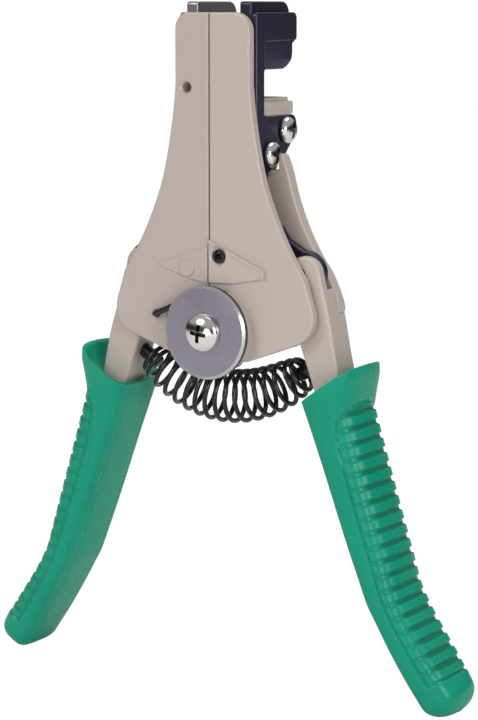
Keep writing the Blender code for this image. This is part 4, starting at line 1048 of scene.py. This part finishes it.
def spring_point(t, turns):
    bulge = math.sqrt(max(0.0, 1 - t * t))
    radius = SPRING_COIL + SPRING_BARREL * bulge
    tight = max(0.0, abs(t) - 0.9) * math.copysign(7.0, t)
    angle = math.tau * (turns * (t + 1) / 2 + tight)
    ahead = spring_heading(t)
    up = Vector((-ahead.z, 0.0, ahead.x))
    hang = SPRING_SAG * (1 - t * t) - SPRING_LIFT * (t * t - t) / 2
    centre = Vector((SPRING_END[0] * t, SHANK_MIDDLE, SPRING_END[1] - hang))
    return centre + (up * math.cos(angle) + Vector((0, 1, 0)) * math.sin(angle)) * radius


def torsion_path():
    """Front leg, a turn that passes behind the plates below the pivot, and a rear leg."""
    front, back = TORSION_FRONT, TORSION_BACK
    tip, along = torsion_leg()
    path = [Vector((tip.x, 1.6, tip.z)), Vector((tip.x, 0.2, tip.z)),
            Vector((tip.x, front + 0.5, tip.z))]
    path += [Vector((tip.x, front + 0.15, tip.z)) - along * 0.2,
             Vector((tip.x, front, tip.z)) - along * 0.6]
    below = TORSION_LEG_ANGLE + 90.0
    steps = 150
    for step in range(steps + 1):
        swept = TORSION_TURN * step / steps
        turn = math.radians(TORSION_LEG_ANGLE - swept)
        lean = min(max((swept - below) / TORSION_PASS + 0.5, 0.0), 1.0)
        lean = lean * lean * (3 - 2 * lean)
        path.append(Vector((TORSION_RADIUS * math.cos(turn), front + (back - front) * lean,
                            TORSION_RADIUS * math.sin(turn))))
    last = math.radians(TORSION_LEG_ANGLE - TORSION_TURN)
    path.append(path[-1] + Vector((math.sin(last), 0.0, -math.cos(last))) * TORSION_TAIL)
    return path


# Screws

def pan_profile(radius, height, under, bore_end, shank):
    profile = [(radius - 0.15, under), (radius, under - 0.15)]
    for step in range(19):
        angle = math.radians(90.0 * step / 18)
        profile.append((radius * math.cos(angle) if step < 18 else 0.0,
                        under - height * (0.14 + 0.86 * math.sin(angle) ** 0.9)))
    return profile + [(0.0, bore_end), (shank - 0.4, bore_end), (shank, bore_end - 0.5),
                      (shank, under)]


def cross_cut(radius, front, depth, share, width):
    """Tapered cross recess with a pointed middle."""
    half, wide = radius * share, radius * width
    plus = [(half, -wide), (half, wide), (wide, wide), (wide, half), (-wide, half), (-wide, wide),
            (-half, wide), (-half, -wide), (-wide, -wide), (-wide, -half), (wide, -half),
            (wide, -wide)]
    rings = []
    for level, grow in ((-1.0, 1.2), (0.0, 1.05), (depth * 0.7, 0.85), (depth, 0.5)):
        rings.append([(a * grow, front + level, b * grow) for a, b in plus])
    return loft(rings)


def screw_mesh(radius, height, under, bore_end, shank, depth, share=0.46, width=0.1):
    work = Work(turned(pan_profile(radius, height, under, bore_end, shank)))
    cutter = cross_cut(radius, under - height, depth, share, width)
    bmesh.ops.rotate(cutter, verts=cutter.verts[:], matrix=Matrix.Rotation(0.12, 3, "Y"))
    work.combine(cutter)
    for angle in (0.9, 2.5):
        nick = prism(rounded([(-0.45, -0.05, 0), (0.45, -0.05, 0), (0.45, 0.05, 0),
                              (-0.45, 0.05, 0)]), under - height - 1, under - height + 0.12)
        bmesh.ops.translate(nick, verts=nick.verts[:], vec=(radius * 0.45, 0, 0))
        bmesh.ops.rotate(nick, verts=nick.verts[:], matrix=Matrix.Rotation(angle, 3, "Y"))
        work.combine(nick)
    return work.mesh()


def in_recess(top, axis, radius, step=None):
    """Test for the walls and floor of a cross recess under a head's top, which take painted shade.
    """
    tops = [top] if step is None else [top, top + step]

    def test(face):
        centre = Vector(face.center) / MM - ORIGIN
        for place in tops:
            away = centre - place
            deep = abs(away[axis])
            away[axis] = 0.0
            if away.length < radius and deep < 2.4:
                return abs(face.normal[axis]) < 0.6 or (deep > 1.2 and away.length < radius * 0.75)
        return False
    return test


# Operators

class STRIPPER_OT_stage(bpy.types.Operator):
    """Add the pale floor, the soft lights and the camera"""
    bl_idname = "stripper.stage"
    bl_label = "Stage"

    def execute(self, context):
        scene = context.scene
        self.floor()
        self.sky(scene)
        for name, place, size, power in (
                ("key", (-0.45, -0.85, 0.75), 0.55, 4.5), ("fill", (0.85, -0.45, 0.30), 0.45, 3.6),
                ("top", (0.05, 0.25, 1.0), 0.6, 3.0), ("low_front", (0.1, -0.9, 0.05), 0.5, 1.5)):
            self.light(name, place, size, power)
        scene.view_settings.view_transform = "Standard"
        scene.view_settings.look = "None"
        self.camera(scene)
        return {"FINISHED"}

    def floor(self):
        bpy.ops.mesh.primitive_circle_add(vertices=96, radius=6.0, fill_type="NGON",
                                          location=(0, 0, -0.0006))
        floor = bpy.context.object
        floor.name = "floor"
        pale = bpy.data.materials.new("pale_floor")
        pale.use_nodes = True
        tree = pale.node_tree
        shader = tree.nodes["Principled BSDF"]
        shader.inputs["Base Color"].default_value = (0.85, 0.85, 0.85, 1.0)
        shader.inputs["Roughness"].default_value = 0.9
        shader.inputs["Specular IOR Level"].default_value = 0.1
        faint = node(tree, "ShaderNodeBsdfDiffuse", [("Color", (0.16, 0.16, 0.16, 1.0))])
        glow = node(tree, "ShaderNodeEmission", [("Color", (1, 1, 1, 1)), ("Strength", 0.965)])
        white = node(tree, "ShaderNodeAddShader", [(0, faint.outputs[0]), (1, glow.outputs[0])])
        rays = node(tree, "ShaderNodeLightPath")
        mixed = node(tree, "ShaderNodeMixShader", [
            (0, rays.outputs["Is Camera Ray"]), (1, shader.outputs[0]), (2, white.outputs[0])])
        tree.links.new(mixed.outputs[0], tree.nodes["Material Output"].inputs[0])
        floor.data.materials.append(pale)

    def sky(self, scene):
        sky = bpy.data.worlds.new("studio")
        scene.world = sky
        sky.use_nodes = True
        tree = sky.node_tree
        tree.nodes.clear()
        out = tree.nodes.new("ShaderNodeOutputWorld")
        place = node(tree, "ShaderNodeTexCoord")
        split = node(tree, "ShaderNodeSeparateXYZ", [(0, place.outputs["Generated"])])
        ramp = node(tree, "ShaderNodeValToRGB", [("Fac", split.outputs["Z"])])
        stops = ramp.color_ramp.elements
        stops[0].position, stops[1].position = 0.0, 0.8
        stops[0].color, stops[1].color = (0.10, 0.10, 0.10, 1.0), (1.0, 1.0, 1.0, 1.0)
        for position, tone in ((0.10, 0.04), (0.22, 0.12), (0.34, 0.9)):
            stops.new(position).color = (tone, tone, tone, 1.0)
        lit = node(tree, "ShaderNodeBackground", [("Color", ramp.outputs[0]), ("Strength", 0.42)])
        seen = node(tree, "ShaderNodeBackground", [("Color", (1, 1, 1, 1)), ("Strength", 1.05)])
        rays = node(tree, "ShaderNodeLightPath")
        mixed = node(tree, "ShaderNodeMixShader", [
            (0, rays.outputs["Is Camera Ray"]), (1, lit.outputs[0]), (2, seen.outputs[0])])
        tree.links.new(mixed.outputs[0], out.inputs[0])

    def light(self, name, place, size, power):
        data = bpy.data.lights.new(name, "AREA")
        data.shape = "DISK"
        data.size = size
        data.energy = power
        lamp = linked(name, data)
        lamp.location = place
        aim = Vector((0.0, 0.0, 0.09)) - Vector(place)
        lamp.rotation_euler = aim.to_track_quat("-Z", "Y").to_euler()

    def camera(self, scene):
        turn, rise = math.radians(CAMERA_TURN), math.radians(CAMERA_RISE)
        data = bpy.data.cameras.new("camera")
        data.sensor_fit = "VERTICAL"
        data.sensor_height = 24.0
        data.lens = CAMERA_LENS
        data.clip_start = 0.01
        eye = linked("camera", data)
        toward = Vector((math.sin(turn) * math.cos(rise), -math.cos(turn) * math.cos(rise),
                         math.sin(rise)))
        facing = (-toward).to_track_quat("-Z", "Y")
        aim = ORIGIN * MM + facing @ Vector((*CAMERA_SHIFT, 0.0))
        eye.location = aim + toward * CAMERA_DISTANCE
        eye.rotation_euler = facing.to_euler()
        scene.camera = eye


class STRIPPER_OT_heads(bpy.types.Operator):
    """Add both front plates with their raised pads, rims and holes"""
    bl_idname = "stripper.heads"
    bl_label = "Front Plates"

    def execute(self, context):
        for hand, side in SIDES.items():
            name = f"front_plate_{hand}"
            # The left plate takes the darker copy of the paint as painted shade.
            tone = FINISHES["paint" if side > 0 else "paint_shaded_left"]
            piece(f"plate_{hand}", placed(front_plate(hand, side).mesh(), side), tone,
                  f"{hand}_head", [name])
        return {"FINISHED"}


class STRIPPER_OT_arms(bpy.types.Operator):
    """Add both rear arms"""
    bl_idname = "stripper.arms"
    bl_label = "Rear Arms"

    def execute(self, context):
        for hand, side in SIDES.items():
            piece(f"arm_{hand}", placed(rear_arm(side).mesh(), side), FINISHES["paint"],
                  f"{hand}_head", [f"rear_arm_{hand}"])
        return {"FINISHED"}


class STRIPPER_OT_hooks(bpy.types.Operator):
    """Add both hook plates and the blocks inside them"""
    bl_idname = "stripper.hooks"
    bl_label = "Hooks"

    def execute(self, context):
        for hand, side in SIDES.items():
            tone, slot, cad = (("gunblue", "gunblue_steel", "blade_plate_right") if side > 0
                               else ("grey", "grey_nickel", "grip_plate_left"))
            piece(f"hook_{hand}", placed(hook_plate().mesh(), side), FINISHES[tone],
                  f"{hand}_head", [cad])
            piece(f"block_{hand}", placed(upper_block().mesh(), side), FINISHES[tone],
                  f"{hand}_head", [f"upper_block_{hand}"])
        return {"FINISHED"}


class STRIPPER_OT_jaws(bpy.types.Operator):
    """Add both lower jaws and the cams that lift them"""
    bl_idname = "stripper.jaws"
    bl_label = "Lower Jaws"

    def execute(self, context):
        for hand, side in SIDES.items():
            piece(f"jaw_{hand}", placed(lower_jaw().mesh(), side), FINISHES["paint"],
                  f"{hand}_jaw", [f"lower_jaw_{hand}"])
            piece(f"cam_{hand}", placed(cam().mesh(), side), FINISHES["gunblue"],
                  f"{hand}_handle", [f"cam_plate_{hand}"])
        return {"FINISHED"}


class STRIPPER_OT_handles(bpy.types.Operator):
    """Add both cast handles"""
    bl_idname = "stripper.handles"
    bl_label = "Handles"

    def execute(self, context):
        for hand, side in SIDES.items():
            piece(f"shank_{hand}", placed(handle(side).mesh(), side), FINISHES["paint"],
                  f"{hand}_handle", [f"handle_{hand}"])
        return {"FINISHED"}


class STRIPPER_OT_grips(bpy.types.Operator):
    """Add both soft grips with their open collars and ribbed panels"""
    bl_idname = "stripper.grips"
    bl_label = "Grips"

    def execute(self, context):
        for hand, side in SIDES.items():
            skin = grip_mesh(context.scene.stripper_sizes, PANEL_EDGE[hand])
            piece(f"sleeve_{hand}", placed(skin, side), FINISHES["grip"], f"{hand}_handle",
                  [f"grip_{hand}"], sharp=60.0)
        return {"FINISHED"}


class STRIPPER_OT_pivot(bpy.types.Operator):
    """Add the pivot's large washer and pan head screw"""
    bl_idname = "stripper.pivot"
    bl_label = "Pivot"

    def execute(self, context):
        face, back, radius, chamfer = WASHER_FRONT, WASHER_BACK, WASHER_RADIUS, WASHER_CHAMFER
        profile = [(WASHER_BORE, face), (radius - chamfer - 0.1, face),
                   (radius - chamfer, face + 0.03),
                   (radius - 0.06, face + chamfer - 0.08), (radius, face + chamfer),
                   (radius, back - 0.15), (radius - 0.15, back), (WASHER_BORE, back)]
        # The washer's chamfer and side are polished. Its side also takes the dark nickel copy as
        # painted shade.
        piece("washer", placed(mesh_of(turned(profile, segments=144))), FINISHES["zinc"], "pivot",
              ["pivot_washer"], sharp=20.0,
              extra=[(FINISHES["chrome"], lambda face: abs(face.normal.y) < 0.97),
                     (FINISHES["recess"], lambda face: abs(face.normal.y) < 0.3)])
        _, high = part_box("pivot_screw")
        end = high.y / MM - ORIGIN.y
        mesh = screw_mesh(PIVOT_HEAD, PIVOT_HEAD_HEIGHT, PIVOT_HEAD_BACK, end, PIVOT_SHANK, 2.0)
        top = Vector((0.0, PIVOT_HEAD_BACK - PIVOT_HEAD_HEIGHT, 0.0))
        # The cross recess takes the dark nickel copy as painted shade.
        piece("pivot_head", placed(mesh), FINISHES["nickel"], "pivot",
              ["pivot_screw"], extra=[(FINISHES["recess"], in_recess(top, 1, 2.7))])
        return {"FINISHED"}


class STRIPPER_OT_plate_screws(bpy.types.Operator):
    """Add the pair of pan head screws on each hook's bracket"""
    bl_idname = "stripper.plate_screws"
    bl_label = "Plate Screws"

    def execute(self, context):
        lower, upper = (Vector((0.0, *PLATE_SCREWS[key])) for key in ("lower", "upper"))
        tree = row_tree()
        for hand, side in SIDES.items():
            mesh = screw_mesh(PLATE_SCREW_HEAD, PLATE_SCREW_HEIGHT, -GAP, 8.4, 1.5, 1.5, 0.62,
                              0.14)
            mesh.transform(Matrix.Translation((HOOK_OUTER, lower.y, lower.z))
                           @ Matrix.Rotation(math.radians(90), 4, "Z"))
            rowed = through_tree(tree, mesh, {"Count": 2, "Step": upper - lower,
                                              "Finish": FINISHES["nickel"]})
            top = Vector((side * (HOOK_OUTER + GAP + PLATE_SCREW_HEIGHT), lower.y, lower.z))
            # The cross recesses take the dark nickel copy as painted shade.
            piece(f"bracket_screws_{hand}", placed(rowed, side), FINISHES["nickel"],
                  f"{hand}_head",
                  [f"plate_screw_{hand}_lower", f"plate_screw_{hand}_upper"],
                  extra=[(FINISHES["recess"], in_recess(top, 0, 2.2, upper - lower))])
        return {"FINISHED"}


class STRIPPER_OT_springs(bpy.types.Operator):
    """Add the barrel spring between the handles and the torsion spring at the pivot"""
    bl_idname = "stripper.springs"
    bl_label = "Springs"

    def execute(self, context):
        sizes = context.scene.stripper_sizes
        tree = wire_tree()
        values = {"Diameter": sizes.handle_wire / MM, "Sides": sizes.wire_sides,
                  "Finish": FINISHES["spring"]}
        total = int(sizes.coil_turns * TURN_STEPS)
        cuts = [-1.0, -SPRING_SPLIT, 0.0, SPRING_SPLIT, 1.0]
        spans = [("left_outer", "left_head", "left_handle", -SPRING_SPLIT, -0.93),
                 ("left_inner", "pivot", "left_head", -0.04, -SPRING_SPLIT + 0.02),
                 ("right_inner", "pivot", "right_head", 0.04, SPRING_SPLIT - 0.02),
                 ("right_outer", "right_head", "right_handle", SPRING_SPLIT, 0.93)]
        for index, (label, first, second, start, end) in enumerate(spans):
            low, high = cuts[index], cuts[index + 1]
            steps = max(8, int(total * (high - low) / 2))
            path = [spring_point(low + (high - low) * k / steps, sizes.coil_turns)
                    for k in range(steps + 1)]
            mesh = placed(through_tree(tree, polyline(path), values))
            nodes = ["handle_spring"] if index == 0 else []
            made = piece(f"coil_{label}", mesh, FINISHES["spring"], None, nodes,
                         sharp=60.0)
            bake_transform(made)
        values["Diameter"] = sizes.torsion_wire / MM
        path = torsion_path()
        first_right = next(i for i, p in enumerate(path) if i > 10 and p.x > 0 and p.z > 0)
        low_turn = next(i for i in range(first_right, len(path)) if path[i].x < 0)
        front, rear = path[:low_turn + 1], path[low_turn:]
        for label, part, body, nodes, tip, near in (
                ("front", front, "left_head", ["torsion_spring"], front[0], front[-1]),
                ("rear", rear, "right_head", [], rear[-1], rear[0])):
            mesh = placed(through_tree(tree, polyline(part), values))
            made = piece(f"torsion_{label}", mesh, FINISHES["spring"], None, nodes,
                         sharp=60.0)
            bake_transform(made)
        return {"FINISHED"}


class STRIPPER_OT_small_parts(bpy.types.Operator):
    """Finish the CAD parts that are shown as they are"""
    bl_idname = "stripper.small_parts"
    bl_label = "Small Parts"

    def execute(self, context):
        tones = {"zinc": ["rear_washer"], "bronze": ["pivot_bush"],
                 "spring": ["roll_pin", "spring_stud"],
                 "nickel": ["cam_dowel", "wing_pin", "lower_blade", "grip_insert",
                            "rear_nut"]}
        for tone, starts in tones.items():
            for name, cad in frame["nodes"].items():
                if name.startswith(tuple(starts)):
                    cad.data.materials.clear()
                    cad.data.materials.append(FINISHES[tone])
        return {"FINISHED"}


PIECES = [STRIPPER_OT_stage, STRIPPER_OT_heads, STRIPPER_OT_arms, STRIPPER_OT_hooks,
          STRIPPER_OT_jaws, STRIPPER_OT_handles, STRIPPER_OT_grips, STRIPPER_OT_pivot,
          STRIPPER_OT_plate_screws, STRIPPER_OT_springs, STRIPPER_OT_small_parts]


class STRIPPER_PT_panel(bpy.types.Panel):
    bl_idname = "STRIPPER_PT_panel"
    bl_label = "Wire Stripper"
    bl_space_type = "VIEW_3D"
    bl_region_type = "UI"
    bl_category = "Stripper"

    def draw(self, context):
        for settings in (context.scene.stripper_sizes, context.scene.stripper_colours):
            for key in settings.bl_rna.properties.keys():
                if key not in {"rna_type", "name"}:
                    self.layout.prop(settings, key)
        for operator in PIECES:
            self.layout.operator(operator.bl_idname)


CLASSES = [StripperSizes, StripperColours, *PIECES, STRIPPER_PT_panel]


def register():
    for made in CLASSES:
        bpy.utils.register_class(made)
    bpy.types.Scene.stripper_sizes = PointerProperty(type=StripperSizes)
    bpy.types.Scene.stripper_colours = PointerProperty(type=StripperColours)


def unregister():
    del bpy.types.Scene.stripper_colours
    del bpy.types.Scene.stripper_sizes
    for made in reversed(CLASSES):
        bpy.utils.unregister_class(made)


def main():
    register()
    make_finishes(bpy.context.scene.stripper_colours)
    for operator in PIECES:
        group, name = operator.bl_idname.split(".")
        getattr(getattr(bpy.ops, group), name)()


if __name__ == "__main__":
    main()
